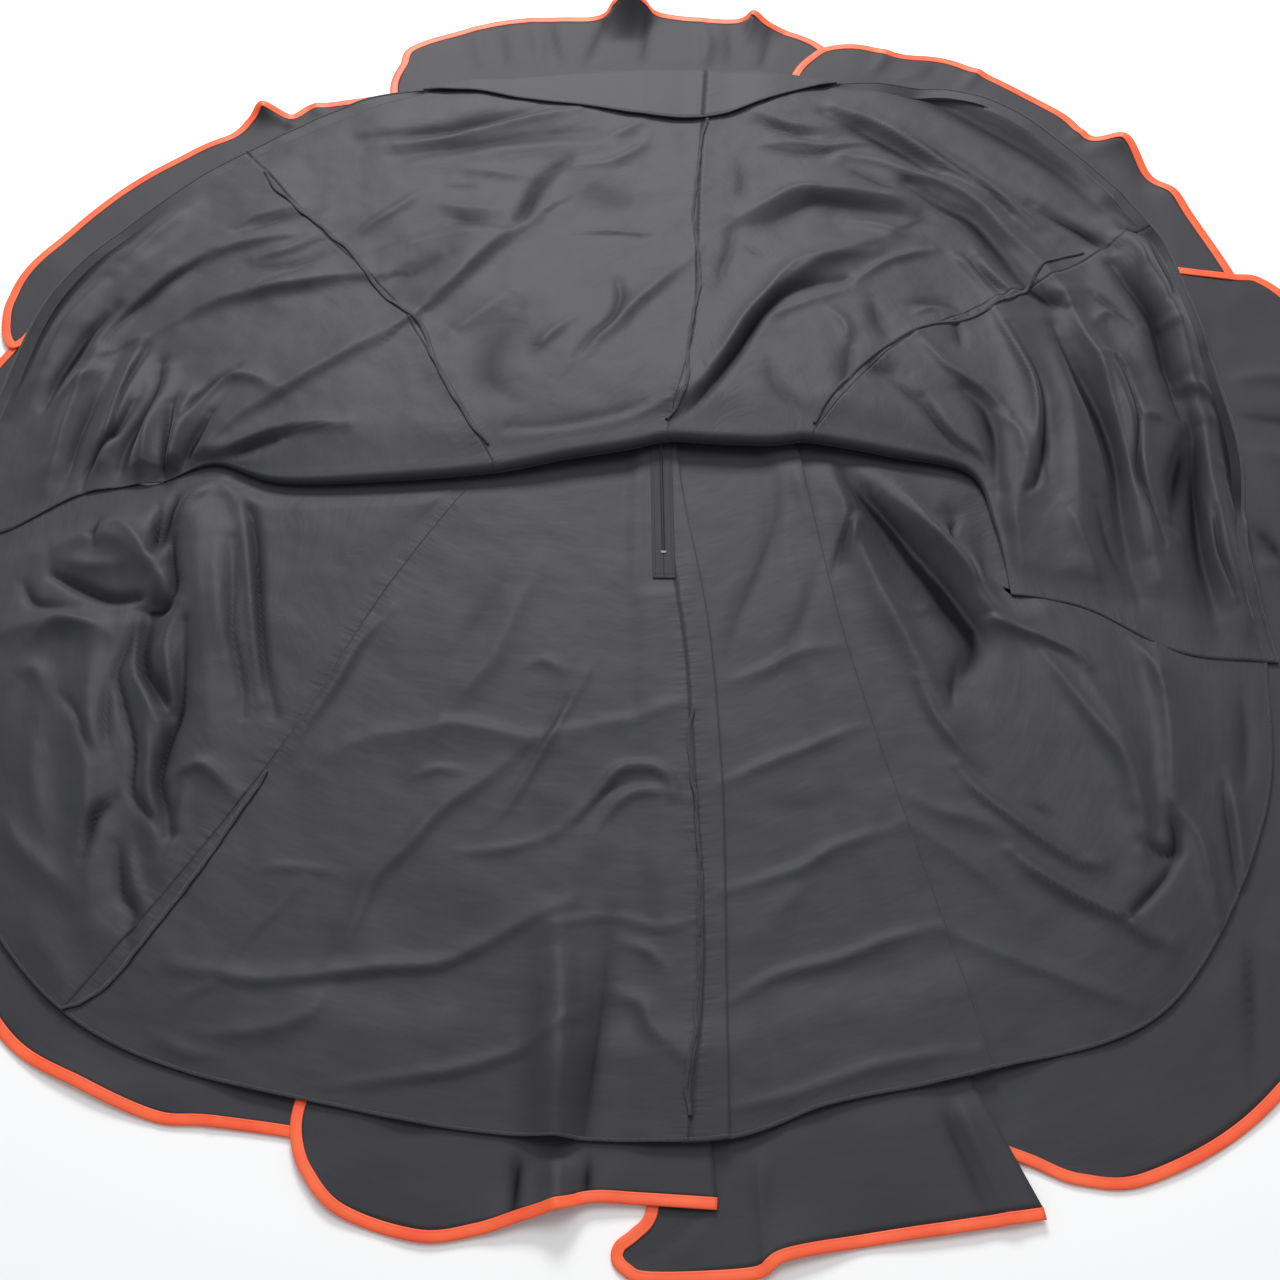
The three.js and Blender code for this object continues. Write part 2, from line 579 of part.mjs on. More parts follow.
// Places along the outline, with the inner edge of the binding and the lift there.
function traceOutline({ outline, shapedStart, shapedEnd }) {
  const line = curve(outline.map(({ at, reach, lift }) => [...polar(at, reach), lift]));
  const rows = outline.length - 1;
  const trace = [];
  for (let k = 0; k <= 2 * rows; k++) {
    const row = k / 2;
    const inEnd = (shapedStart && row < END_ROWS) || (shapedEnd && row > rows - END_ROWS);
    if (inEnd && k % 2) continue;
    const edge = line.getPoint(row / rows);
    const along = line.getTangent(row / rows);
    const inward = new THREE.Vector3(-along.y, along.x, 0).normalize();
    const lift = Math.max(edge.z, 0);
    edge.z = 0;
    const rim = edge.clone().addScaledVector(inward, BINDING.wide + RIM_CLEAR);
    trace.push({ edge, rim, inward, lift, at: directionOf(edge, outline[0].at) });
  }
  return trace;
}

// How far a side, a chain of points from the root to the outer edge, bends from a straight line.
function sideBend(side, share) {
  const place = share * (side.length - 1);
  const k = Math.min(Math.floor(place), side.length - 2);
  const straight = side[0].clone().lerp(side[side.length - 1], share);
  return side[k].clone().lerp(side[k + 1], place - k).sub(straight);
}

function flounceGrid(flounce, trace) {
  const last = trace.length - 1;
  const from = flounce.shapedStart ? END_ROWS : 0;
  const to = flounce.shapedEnd ? last - END_ROWS : last;
  const rims = trace.map(({ rim }) => rim);
  const startSide = from ? rims.slice(0, from + 1) : [rootPoint(trace[0].at), rims[0]];
  const endSide = to < last ? rims.slice(to).reverse() : [rootPoint(trace[last].at), rims[last]];
  const outer = trace.slice(from, to + 1);
  const [startAt, endAt] = [trace[0].at, trace[last].at];
  return outer.map(({ rim, at, lift }) => {
    const share = (at - outer[0].at) / (trace[to].at - outer[0].at);
    const nearStart = 1 - smooth(rim.distanceTo(rims[from]), 0, END_REACH);
    const nearEnd = 1 - smooth(rim.distanceTo(rims[to]), 0, END_REACH);
    const root = rootPoint(lerp(startAt, endAt, THREE.MathUtils.clamp(share, 0, 1)));
    root.addScaledVector(startSide[0].clone().sub(rootPoint(startAt)), nearStart);
    root.addScaledVector(endSide[0].clone().sub(rootPoint(endAt)), nearEnd);
    const whole = root.distanceTo(rim);
    return FLOUNCE_ROWS.map((v) => {
      const point = root.clone().lerp(rim, v);
      point.addScaledVector(sideBend(startSide, v), nearStart);
      point.addScaledVector(sideBend(endSide, v), nearEnd);
      const rise = lift * smooth(v * whole, Math.max(UNDER_HEM, FLAT_SHARE * whole), whole);
      point.z = WALL / 2 + lapHeight(flounce, directionOf(point, startAt)) + rise;
      return point;
    }).reverse();
  });
}

function addFlounce(name, flounce) {
  const trace = traceOutline(flounce);
  const grid = flounceGrid(flounce, trace);
  add("flounce_" + name, wall(grid, gridNormals(grid), WALL), COLOURS.flounce, 0.8);
  const strip = trace.map(({ edge, inward, lift }) => [0, 1].map((share) => {
    const place = edge.clone().addScaledVector(inward, BINDING.wide * share);
    place.z = BINDING.thick / 2 + lapHeight(flounce, directionOf(place, trace[0].at)) + lift;
    return place;
  }));
  add("binding_" + name, wall(strip, gridNormals(strip), BINDING.thick), COLOURS.binding, 0.45);
}

// ---- zip, waistband and the cloth turned under ----
const ZIP_LINE = curve([[24, -140], [21, -60], [18, 20], [15, 116]]);
const PLEAT_TOP = WALL + 2 * PLEAT_LAYER; // top of the back half beside the centre back pleat
const ZIP_STEPS = 8;

// A flat strip beside the zip's line, from one distance to another, between two heights.
function zipStrip(from, to, inner, outer, low, high) {
  const sections = [];
  for (let k = 0; k <= ZIP_STEPS; k++) {
    const { x, y } = ZIP_LINE.getPoint(lerp(from, to, k / ZIP_STEPS));
    sections.push([[x + outer, y, low], [x + inner, y, low], [x + inner, y, high], [x + outer, y, high]]);
  }
  return loft(sections);
}

function addZip() {
  const low = PLEAT_TOP + CLEAR;
  const high = low + ZIP.tapeThick;
  const coil = high + CLEAR;
  const sliderFrom = 1 - ZIP.sliderLong / 258;
  add("zip_tape_left", zipStrip(0, 1, -ZIP.tape - CLEAR / 2, -CLEAR / 2, low, high), COLOURS.zip, 0.8);
  add("zip_tape_right", zipStrip(0, 1, CLEAR / 2, ZIP.tape + CLEAR / 2, low, high), COLOURS.zip, 0.8);
  const half = ZIP.coil / 2;
  const coilTop = coil + ZIP.coilHigh;
  add("zip_coil", zipStrip(0.16, sliderFrom - 0.002, -half, half, coil, coilTop), COLOURS.zip, 0.5);
  const wide = ZIP.sliderWide / 2;
  add("zip_slider", zipStrip(sliderFrom, 0.995, -wide, wide, coil, coilTop + 0.4), COLOURS.zip, 0.4);
}

const overPleats = (x) => smooth(x, -160, -62) * (1 - smooth(x, 225, 330));

// The waistband: a flattened tube of doubled cloth whose opening faces +Y.
function addWaistband() {
  const stations = [];
  const steps = 14;
  const topAt = (x) => 7.4 + 6.6 * overPleats(x);
  for (let k = 0; k <= steps; k++) {
    const x = lerp(-BAND.half, BAND.half, k / steps);
    stations.push({ x, y: backWaist(x) + BAND.seam, z: BAND.thick / 2, out: [0, 1] });
  }
  const turn = (side) => {
    const z = (BAND.thick / 2 + topAt(side * BAND.half)) / 2;
    const y = (backWaist(BAND.half) + frontWaist(BAND.half)) / 2;
    stations.push({ x: side * (BAND.half + z - 1), y, z, out: [-side, 0] });
  };
  turn(1);
  for (let k = 0; k <= steps; k++) {
    const x = lerp(BAND.half, -BAND.half, k / steps);
    stations.push({ x, y: frontWaist(x), z: topAt(x), out: [0, -1] });
  }
  turn(-1);
  const half = BAND.thick / 2;
  const sections = stations.map(({ x, y, z, out }) => [
    [x - out[0] * half, y, z - out[1] * half],
    [x - out[0] * half, y + BAND.wide, z - out[1] * half],
    [x + out[0] * half, y + BAND.wide, z + out[1] * half],
    [x + out[0] * half, y, z + out[1] * half],
  ]);
  add("waistband", loft(sections, true), COLOURS.inside);
}

// The front's cloth that is turned under, between the roll and the waistband, in three steps.
function addTurnedUnder() {
  const steps = 16;
  const sections = [];
  for (let k = 0; k <= steps; k++) {
    const share = k / steps;
    const roll = ROLL_LINE.reduce((best, point) => {
      const x = lerp(345, -455, share);
      return Math.abs(point.x - x) < Math.abs(best.x - x) ? point : best;
    });
    const x = lerp(345, -455, share);
    const near = roll.y + ROLL_LIP + 10;
    const far = frontWaist(Math.min(Math.abs(x), 174)) - BAND.seam - Math.max(Math.abs(x) - 174, 0) * 0.33;
    const low = 3.4 + 6.8 * overPleats(x);
    const layer = lerp(1.1, 1.9, Math.sin(Math.PI * share) ** 0.5);
    const inner = Math.max(far, near + 20);
    sections.push([
      [x, near, low], [x, near, low + layer], [x, near + 4, low + layer],
      [x, near + 4, low + 2 * layer], [x, near + 8, low + 2 * layer], [x, near + 9, low + 2.8 * layer],
      [x, inner - 6, low + 2.8 * layer], [x, inner - 5, low + 2 * layer], [x, inner - 3, low + 2 * layer],
      [x, inner - 3, low + layer], [x, inner, low + layer], [x, inner, low],
    ]);
  }
  add("front_turned_under", loft(sections), COLOURS.inside);
}

addBack();
addFront();
for (const [name, flounce] of Object.entries(FLOUNCES)) addFlounce(name, flounce);
addZip();
addWaistband();
addTurnedUnder();

// The origin is under the middle of the skirt's box, on the floor.
const box = new THREE.Box3().setFromObject(skirt, true);
const middle = box.getCenter(new THREE.Vector3());
skirt.position.set(-middle.x, -middle.y, -box.min.z);

export default skirt;
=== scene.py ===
import bmesh
import bpy
import numpy as np
from mathutils import Matrix, Vector
from mathutils.kdtree import KDTree


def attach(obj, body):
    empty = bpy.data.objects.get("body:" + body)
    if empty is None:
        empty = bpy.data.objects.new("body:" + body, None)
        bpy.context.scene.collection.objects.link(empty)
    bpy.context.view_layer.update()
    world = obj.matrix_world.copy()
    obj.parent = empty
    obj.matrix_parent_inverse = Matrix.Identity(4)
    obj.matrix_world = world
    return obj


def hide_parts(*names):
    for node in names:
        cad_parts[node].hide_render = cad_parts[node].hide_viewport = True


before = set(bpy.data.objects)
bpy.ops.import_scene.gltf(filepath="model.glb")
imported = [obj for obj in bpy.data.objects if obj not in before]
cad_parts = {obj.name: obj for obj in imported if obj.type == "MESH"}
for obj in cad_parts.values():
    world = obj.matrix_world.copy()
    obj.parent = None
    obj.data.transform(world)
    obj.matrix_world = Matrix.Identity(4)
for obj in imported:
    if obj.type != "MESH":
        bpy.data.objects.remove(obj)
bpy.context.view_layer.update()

bpy.ops.object.select_all(action="DESELECT")

# ---- driving sizes, in millimetres and degrees, on the plan whose middle is the skirt's own ----
PLAN_TO_FRAME = np.array([-10.195, -0.104, 0.0])  # the frame's origin is under the middle of the box
MM = 0.001
CLOTH = 0.9  # thickness of the cloth
WALL = 1.6  # thickness of the frame's cloth, which these heights follow
CLEAR = 0.3
PLEAT_LAYER = 2.0  # from one layer of a pleat to the next
LAP_LIFT = 3.4  # rise of a flounce's end over its neighbour's
FLOUNCE_ROOT = 70  # how far a flounce reaches in under the base hem
FLOUNCE_REST = 1.9  # a gore's height where it rests on one flounce
LAP_REST = 3.6  # added where two flounces lie on each other
SETTLED = 125  # inside the hem by this, a gore lies clear of every flounce
BINDING_WIDE = 11
BINDING_THICK = 2.3
BAND_WIDE = 35
PLEAT_DEPTH = 34
SEAM_PLEAT_DEPTH = 21
HEM_FLAP_RADIUS = 3.5

# ---- camera ----
LENS = 44.35
SENSOR = 36.0
CAMERA_AT = np.array([55.1, -1164.35, 1450.0])
CAMERA_PITCH = 56.85  # below the horizon
CAMERA_YAW = 3.41
CAMERA_ROLL = -2.35


# ---- small tools ----
def table(columns, rows):
    """A table with named columns: one dict for each row."""
    return [dict(zip(columns, row)) for row in rows]


def smooth(value, low, high):
    """0 below low, 1 above high, and an even curve between."""
    share = np.clip((np.asarray(value, float) - low) / (high - low), 0, 1)
    return share * share * (3 - 2 * share)


def lerp(a, b, share):
    return a + (b - a) * share


def polar(at, reach):
    angle = np.radians(at)
    return np.stack([reach * np.cos(angle), reach * np.sin(angle)], -1)


def through(points, t):
    """Places on a smooth curve through evenly timed points, t from 0 to 1."""
    p = np.asarray(points, float)
    if p.ndim == 1:
        p = p[:, None]
    ends = np.concatenate([[2 * p[0] - p[1]], p, [2 * p[-1] - p[-2]]])
    place = np.clip(np.asarray(t, float), 0, 1) * (len(p) - 1)
    i = np.minimum(place.astype(int), len(p) - 2)
    w = (place - i)[..., None]
    before, start, end, after = (ends[i + k] for k in range(4))
    leave, arrive = (end - before) / 2, (after - start) / 2
    cubic = 2 * start - 2 * end + leave + arrive
    square = -3 * start + 3 * end - 2 * leave - arrive
    return ((cubic * w + square) * w + leave) * w + start


def graded(values, t):
    return through(values, t)[..., 0]


FULL_TURN = 2 * np.pi
WAVE_COUNT = 14
SLOW_WAVE, FAST_WAVE = 0.7, 1.4
WAVES_TO_ONE = 5  # the sum of all waves seldom passes this
WAVE_DRAW = np.random.default_rng(7)
WAVES = [
    (WAVE_DRAW.uniform(0, FULL_TURN), WAVE_DRAW.uniform(0, FULL_TURN),
     WAVE_DRAW.uniform(SLOW_WAVE, FAST_WAVE))
    for _ in range(WAVE_COUNT)
]


def swell(x, y, length):
    """An uneven low swell between about -1 and 1, with waves of about one length."""
    total = np.zeros(np.broadcast(x, y).shape)
    for way, phase, pace in WAVES:
        across = x * np.cos(way) + y * np.sin(way)
        total += np.sin(FULL_TURN * pace * across / length + phase)
    return total / WAVES_TO_ONE


def uneven(x, y, swells):
    """The sum of listed swells."""
    return sum(
        swell(x + wave["shift"][0], y + wave["shift"][1], wave["length"]) * wave["high"] for wave in swells
    )


# ---- the base hem, as a reach from the middle at each direction ----
HEM = np.array([
    [-19.3, 715], [-9, 674], [5, 692], [24, 722], [34, 774], [46, 795], [57, 805], [64, 806],
    [69, 764], [84.7, 751], [101.5, 753], [112, 788], [118.5, 784], [126, 788], [134.5, 800],
    [145, 812], [157, 823], [171, 800], [186, 804], [203, 835], [222, 856], [230.2, 849],
    [246, 797], [258, 769], [275, 768], [284.6, 752], [296, 772], [309, 810], [317, 812],
    [331, 748], [340.7, 715], [351, 674],
])


def hem_reach(at):
    at = (np.asarray(at, float) - HEM[0, 0]) % 360 + HEM[0, 0]
    after = np.clip(np.searchsorted(HEM[:, 0], at), 1, len(HEM) - 1)
    low, high = HEM[after - 1], HEM[after]
    share = (at - low[..., 0]) / (high[..., 0] - low[..., 0])
    return lerp(low[..., 1], high[..., 1], smooth(share, 0, 1))


# ---- lines of the gores ----
HALF_WAIST = 175  # from the middle of the closed waist to its side
BACK_WAIST_MIDDLE = 120
FRONT_WAIST_MIDDLE = 192
WAIST_SIDE = 150  # where the two waist lines meet at a side


def back_waist(x):
    return BACK_WAIST_MIDDLE + (WAIST_SIDE - BACK_WAIST_MIDDLE) * (x / HALF_WAIST) ** 2


def front_waist(x):
    return FRONT_WAIST_MIDDLE + (WAIST_SIDE - FRONT_WAIST_MIDDLE) * (x / HALF_WAIST) ** 2


BACK_LINES = table(["at", "low", "mid", "high", "top", "under", "waist"], [
    [186, [-740, -72], [-672, -20], [-620, -6], [-565, 0], [-470, 78], -175],  # left side seam
    [208, [-615, -300], [-490, -205], [-370, -100], [-250, 10], [-205, 84], -130],
    [230.2, [-450, -497], [-364, -335], [-292, -163], [-207, -8], [-145, 66], -87],
    [252.2, [-200, -570], [-160, -390], [-120, -210], [-80, -35], [-58, 50], -38],
    [274.2, [70, -590], [60, -412], [49, -236], [24, -60], [18, 32], 12],  # centre back seam
    [284.6, [190, -560], [165, -390], [140, -220], [110, -50], [98, 40], 60],
    [296, [300, -530], [256, -360], [218, -190], [188, -10], [172, 62], 102],
    [309, [450, -490], [388, -345], [322, -200], [252, -20], [246, 62], 130],
    [326, [562, -352], [476, -262], [382, -172], [300, -30], [340, 52], 155],
    [340.7, [585, -226], [500, -172], [450, -156], [410, -150], [425, 0], 175],  # right side seam
])
FRONT_LINES = table(["at", "low", "mid", "high", "roll", "puff", "flap"], [
    [-19.3, [585, -226], [500, -172], [450, -156], [410, -150], 5, -10],  # right side seam
    [-9, [600, -95], [530, -85], [460, -75], [403, -62], 9, -10],
    [5, [620, 72], [545, 50], [460, 25], [381, 16], 15, -10],
    [22, [585, 232], [500, 190], [400, 128], [290, 43], 21, -10],
    [33.5, [540, 352], [425, 286], [300, 198], [197, 60], 26, -10],  # right front seam
    [46, [450, 440], [350, 330], [250, 212], [168, 58], 27, -10],
    [57, [365, 520], [285, 372], [205, 226], [140, 55], 27, -10],
    [69, [228, 560], [180, 402], [130, 236], [84, 57], 27, -8],
    [84.7, [62, 565], [58, 382], [54, 222], [25, 60], 27, 102],  # centre front seam
    [101.5, [-110, 572], [-75, 402], [-50, 236], [-25, 47], 27, 62],
    [118.5, [-300, 542], [-230, 380], [-165, 216], [-95, 34], 25, -10],
    [134.5, [-455, 436], [-335, 296], [-262, 170], [-180, 16], 21, -10],  # left front seam
    [145, [-560, 390], [-470, 300], [-385, 190], [-310, 2], 18, -10],
    [158, [-660, 270], [-580, 215], [-510, 130], [-430, -2], 14, -10],
    [171, [-725, 105], [-660, 82], [-600, 50], [-510, 24], 9, -10],
    [186, [-740, -72], [-672, -20], [-620, -6], [-565, 0], 5, -10],  # left side seam
])
CENTRE_BACK, RIGHT_BACK, LEFT_BACK = 4, 6, 2
RIGHT_FRONT, CENTRE_FRONT, LEFT_FRONT = 4, 8, 11
LAST_FRONT = len(FRONT_LINES) - 1
LAST_BACK = len(BACK_LINES) - 1

# ---- creases: each a soft ridge, or a trough where high is negative, along a curve ----
# half is the half width on the left and on the right, seen along the curve.
CREASE = ["high", "half", "along"]
FRONT_CREASES = table(CREASE, [
    # the broad folds of the front half
    [13, [17, 17], [[440, 285], [462, 110], [418, -70]]],
    [16, [16, 16], [[522, 300], [572, 100], [572, -140]]],
    [10, [18, 18], [[500, 240], [505, 80], [488, -120]]],
    [20, [20, 20], [[600, 430], [648, 250], [655, 110]]],
    [17, [16, 16], [[660, 90], [650, 0], [658, -205]]],
    [12, [16, 14], [[330, 728], [478, 642], [606, 486]]],
    [13, [26, 14], [[52, 110], [110, 214], [182, 318], [250, 372], [312, 412]]],
    [8, [22, 24], [[100, 452], [180, 486], [250, 500], [340, 466], [420, 402]]],
    [8, [20, 20], [[-705, 240], [-610, 362], [-440, 442]]],
    [-9, [13, 13], [[-640, 505], [-690, 420], [-742, 330], [-768, 250], [-776, 170], [-780, 90]]],
    [-8, [13, 13], [[240, 722], [352, 700], [464, 610], [545, 530], [590, 455]]],
    [-10, [14, 14], [[606, 470], [668, 390], [700, 290], [702, 200]]],
    [-9, [15, 15], [[676, 200], [684, 100], [680, 0], [690, -120]]],
    [14, [14, 14], [[-690, 190], [-700, 90], [-706, -20]]],
    [15, [12, 12], [[-640, 210], [-645, 90], [-650, -10]]],
    [15, [11, 11], [[-598, 170], [-600, 80], [-592, -60]]],
    [11, [10, 10], [[-560, 120], [-566, 20], [-562, -60]]],
    # front left gore
    [-8, [8, 9], [[-116, 556], [-138, 538], [-157, 502], [-166, 471], [-172, 446], [-188, 421]]],
    [4, [6, 8], [[-112, 548], [-67, 552], [-42, 566], [-20, 586], [-11, 610]]],
    [10, [9, 44], [[-154, 444], [-197, 402], [-228, 359], [-253, 316], [-278, 285], [-298, 256]]],
    [-6, [10, 10], [[-414, 598], [-352, 607], [-296, 616], [-253, 629], [-203, 647], [-166, 660]]],
    [5, [5, 8], [[-360, 590], [-290, 603], [-228, 628], [-166, 650], [-110, 662]]],
    [-6, [13, 13], [[-352, 567], [-302, 579], [-253, 588], [-203, 601], [-154, 610], [-85, 616]]],
    [4, [10, 18], [[-330, 552], [-253, 568], [-200, 582], [-130, 590], [-60, 588]]],
    [5, [5, 9], [[-395, 409], [-371, 433], [-340, 464], [-315, 495]]],
    [4, [10, 16], [[-377, 365], [-333, 384], [-290, 402], [-228, 412], [-197, 409]]],
    [-5, [15, 15], [[-345, 322], [-305, 345], [-265, 368]]],
    [3, [8, 8], [[-265, 539], [-216, 533], [-172, 526]]],
    [-2, [4, 4], [[-284, 502], [-262, 502], [-240, 502]]],
    [3, [8, 8], [[-290, 471], [-253, 461], [-203, 455]]],
    [-5, [12, 12], [[-275, 442], [-245, 434], [-212, 427]]],
    [-2, [3, 3], [[-104, 409], [-54, 409], [-11, 406], [2, 410]]],
    [3, [5, 6], [[-100, 414], [-54, 415], [-8, 411]]],
    [7, [8, 18], [[51, 365], [14, 316], [-23, 266], [-48, 229], [-67, 204], [-85, 173]]],
    [-6, [7, 7], [[-42, 320], [-38, 280], [-48, 241], [-70, 210], [-90, 172]]],
    [5, [7, 8], [[-100, 241], [-125, 210], [-138, 190]]],
    [5, [12, 12], [[-178, 297], [-216, 254], [-247, 223]]],
    [-5, [24, 24], [[-166, 266], [-192, 204], [-196, 142], [-166, 108]]],
    [-4, [18, 18], [[-20, 470], [-60, 480], [-100, 500]]],
    [5, [7, 6], [[-166, 46], [-104, 53], [-42, 66], [8, 90], [39, 114]]],
    [-5, [6, 6], [[-166, 63], [-104, 66], [-42, 82], [-5, 96]]],
    [4, [9, 9], [[-20, 640], [-40, 620], [-70, 600]]],
    # beside the left front seam
    [9, [8, 26], [[-299, 252], [-352, 206], [-402, 162], [-451, 118], [-495, 80], [-538, 20]]],
    [8, [7, 9], [[-454, 123], [-476, 142], [-500, 151], [-519, 146], [-538, 117], [-553, 80], [-563, 18]]],
    [-8, [6, 6], [[-507, 168], [-532, 142], [-550, 108], [-563, 78]]],
    [8, [6, 8], [[-358, 68], [-395, 68], [-445, 61], [-482, 44], [-519, 26]]],
    [-14, [9, 9], [[-432, 56], [-462, 42], [-490, 27], [-512, 10]]],
    [11, [9, 36], [[-340, 334], [-400, 330], [-445, 316], [-507, 300], [-563, 278], [-638, 222]]],
    [-3, [4, 4], [[-519, 297], [-482, 322], [-445, 343]]],
    [6, [7, 12], [[-457, 409], [-488, 402], [-538, 387], [-575, 368], [-620, 330], [-660, 275], [-690, 212]]],
    [-5, [5, 5], [[-572, 370], [-614, 328], [-644, 286], [-668, 254], [-686, 212]]],
    [5, [6, 14], [[-433, 414], [-457, 392], [-488, 372], [-520, 362]]],
    [5, [6, 12], [[-482, 464], [-532, 440], [-563, 415]]],
    [-4, [8, 8], [[-457, 452], [-500, 436], [-540, 412]]],
    [-4, [9, 9], [[-420, 380], [-470, 350], [-540, 340]]],
    [5, [8, 8], [[-674, 168], [-700, 142], [-722, 118]]],
    [-12, [8, 8], [[-680, 270], [-704, 232], [-716, 190], [-728, 148], [-736, 108]]],
    [9, [14, 14], [[-700, 330], [-722, 280], [-742, 225], [-752, 150]]],
    [7, [12, 12], [[-620, 470], [-660, 400], [-690, 340]]],
    # bunched side front, left
    [-7, [4, 4], [[-629, 211], [-638, 160], [-643, 100], [-640, 58]]],
    [-9, [5, 5], [[-626, 112], [-638, 64], [-656, 28], [-665, -8], [-656, -50]]],
    [-15, [8, 8], [[-608, 182], [-602, 136], [-608, 88], [-620, 40], [-620, -25]]],
    [-12, [5, 5], [[-578, 110], [-572, 40], [-569, -40]]],
    [-14, [6, 6], [[-527, 92], [-542, 40], [-548, 4]]],
    [-5, [6, 6], [[-672, 140], [-682, 60], [-686, -10]]],
    # centre front gore's right side
    [-11, [7, 8], [[34, 72], [57, 96], [82, 138], [106, 182], [127, 226], [156, 274], [190, 304],
                   [247, 322]]],
    [6, [8, 8], [[67, 125], [92, 174], [117, 236], [148, 286], [179, 336], [216, 354], [290, 376]]],
    [6, [6, 16], [[111, 441], [154, 472], [185, 494], [228, 491], [278, 484], [321, 474], [346, 453]]],
    [-6, [16, 16], [[111, 424], [154, 437], [204, 468], [247, 466], [303, 453], [346, 441]]],
    [3, [5, 5], [[247, 441], [290, 429], [328, 410], [365, 391]]],
    [5, [5, 6], [[259, 317], [297, 354], [334, 373], [365, 382]]],
    [3, [5, 6], [[142, 245], [197, 276], [247, 300]]],
    [-5, [10, 10], [[278, 286], [284, 243], [297, 205]]],
    [-5, [9, 9], [[247, 199], [241, 162], [235, 125]]],
    [4, [6, 6], [[216, 274], [241, 238], [244, 205]]],
    [-4, [9, 9], [[148, 174], [154, 131], [179, 88], [197, 66]]],
    [-3.5, [8, 8], [[117, 560], [120, 515], [115, 478]]],
    [-4, [8, 8], [[104, 432], [101, 385], [91, 345], [90, 310]]],
    [-2.5, [3, 3], [[117, 391], [132, 376], [148, 360]]],
    [4, [5, 6], [[148, 590], [185, 595], [235, 587], [278, 594], [300, 594]]],
    [-4, [6, 6], [[150, 582], [190, 573], [230, 572], [266, 584]]],
    [3, [4, 4], [[154, 605], [172, 610], [191, 607]]],
    [4, [5, 6], [[142, 652], [191, 628], [224, 620]]],
    [-4, [5, 5], [[140, 636], [185, 612], [215, 606]]],
    # arcs towards the far right hem
    [-12, [9, 9], [[232, 654], [278, 621], [315, 590], [352, 559], [380, 530]]],
    [7, [6, 6], [[247, 664], [297, 635], [340, 598], [377, 562], [427, 515], [464, 472], [498, 425]]],
    [7, [6, 8], [[303, 641], [352, 600], [402, 555], [452, 497], [489, 447], [526, 404]]],
    [-6, [5, 5], [[340, 612], [390, 562], [440, 500], [470, 448]]],
    [9, [12, 8], [[250, 570], [303, 553], [340, 528], [383, 509], [427, 472], [464, 410], [501, 354],
                  [528, 286]]],
    [-14, [10, 11], [[338, 512], [377, 472], [414, 441], [439, 398], [464, 345], [480, 314]]],
    [-5, [10, 10], [[259, 546], [297, 515], [328, 497]]],
    [-10, [11, 11], [[474, 326], [495, 300], [520, 277]]],
    [-5, [8, 8], [[328, 280], [350, 284], [371, 284], [396, 267]]],
    [4, [5, 5], [[334, 262], [348, 270], [362, 268], [377, 253]]],
    [-6, [5, 5], [[380, 252], [382, 228], [383, 203]]],
    [6, [6, 6], [[390, 376], [408, 348], [436, 290]]],
    [6, [6, 6], [[421, 375], [440, 329], [466, 292]]],
    [-5, [5, 5], [[404, 372], [424, 336], [448, 292]]],
    [5, [8, 10], [[510, 460], [548, 424], [584, 392]]],
    [-11, [9, 9], [[500, 470], [540, 432], [570, 402], [594, 378]]],
    # bunched side front, right
    [-16, [9, 8], [[380, 131], [396, 106], [404, 75], [407, 38], [405, -20]]],
    [-11, [5, 5], [[328, 116], [340, 81], [359, 50], [383, 26], [396, 0]]],
    [-5, [5, 5], [[297, 137], [315, 116], [331, 94]]],
    [-6, [16, 16], [[262, 156], [284, 160], [306, 150]]],
    [7, [6, 6], [[328, 224], [352, 181], [368, 158], [402, 131], [428, 92]]],
    [6, [7, 4], [[427, 286], [434, 249], [446, 205], [459, 150], [462, 100], [458, 50], [450, 5]]],
    [-8, [5, 5], [[445, 240], [457, 190], [470, 130], [469, 80], [462, 35], [450, -10], [438, -25]]],
    [-17, [13, 10], [[502, 246], [512, 200], [526, 140], [538, 85], [544, 20], [541, -50], [545, -160]]],
    [7, [5, 8], [[526, 280], [535, 228], [548, 180], [554, 120], [560, 30], [564, -100]]],
    [-8, [4, 5], [[570, 194], [580, 144], [583, 96], [571, 12], [577, -36], [586, -92]]],
    [6, [6, 6], [[586, 96], [600, 98], [612, 92]]],
    [5, [5, 5], [[552, 188], [572, 192], [588, 168]]],
    [5, [7, 7], [[552, 252], [572, 268], [606, 240]]],
    [-5, [5, 5], [[558, 306], [582, 270], [600, 246]]],
    [-17, [9, 9], [[588, 352], [604, 312], [616, 280], [624, 246], [626, 200], [630, 150], [634, 100]]],
    [-15, [12, 10], [[636, 70], [622, 30], [610, -10], [600, -60]]],
    [-17, [13, 13], [[642, 150], [644, 62], [630, -20], [622, -90], [622, -150], [624, -212]]],
    [6, [6, 7], [[636, 20], [638, -50], [640, -115], [649, -168]]],
    [-6, [4, 4], [[646, -50], [643, -108], [655, -172]]],
    [7, [6, 6], [[668, 20], [669, -40], [672, -100], [667, -190]]],
    [7, [8, 8], [[630, 147], [658, 136], [684, 132]]],
    [-6, [5, 5], [[642, 402], [648, 350], [654, 305], [643, 268]]],
    [6, [7, 7], [[612, 398], [624, 362], [620, 322]]],
    [5, [6, 6], [[622, 243], [640, 236], [656, 240]]],
    [-7, [3, 3], [[609, 413], [626, 414], [642, 412]]],
    [-4, [6, 6], [[470, 60], [466, 30], [465, -5]]],
    [-5, [8, 8], [[516, -30], [523, -90], [536, -140]]],
    [5, [9, 9], [[480, -40], [498, -100], [506, -150]]],
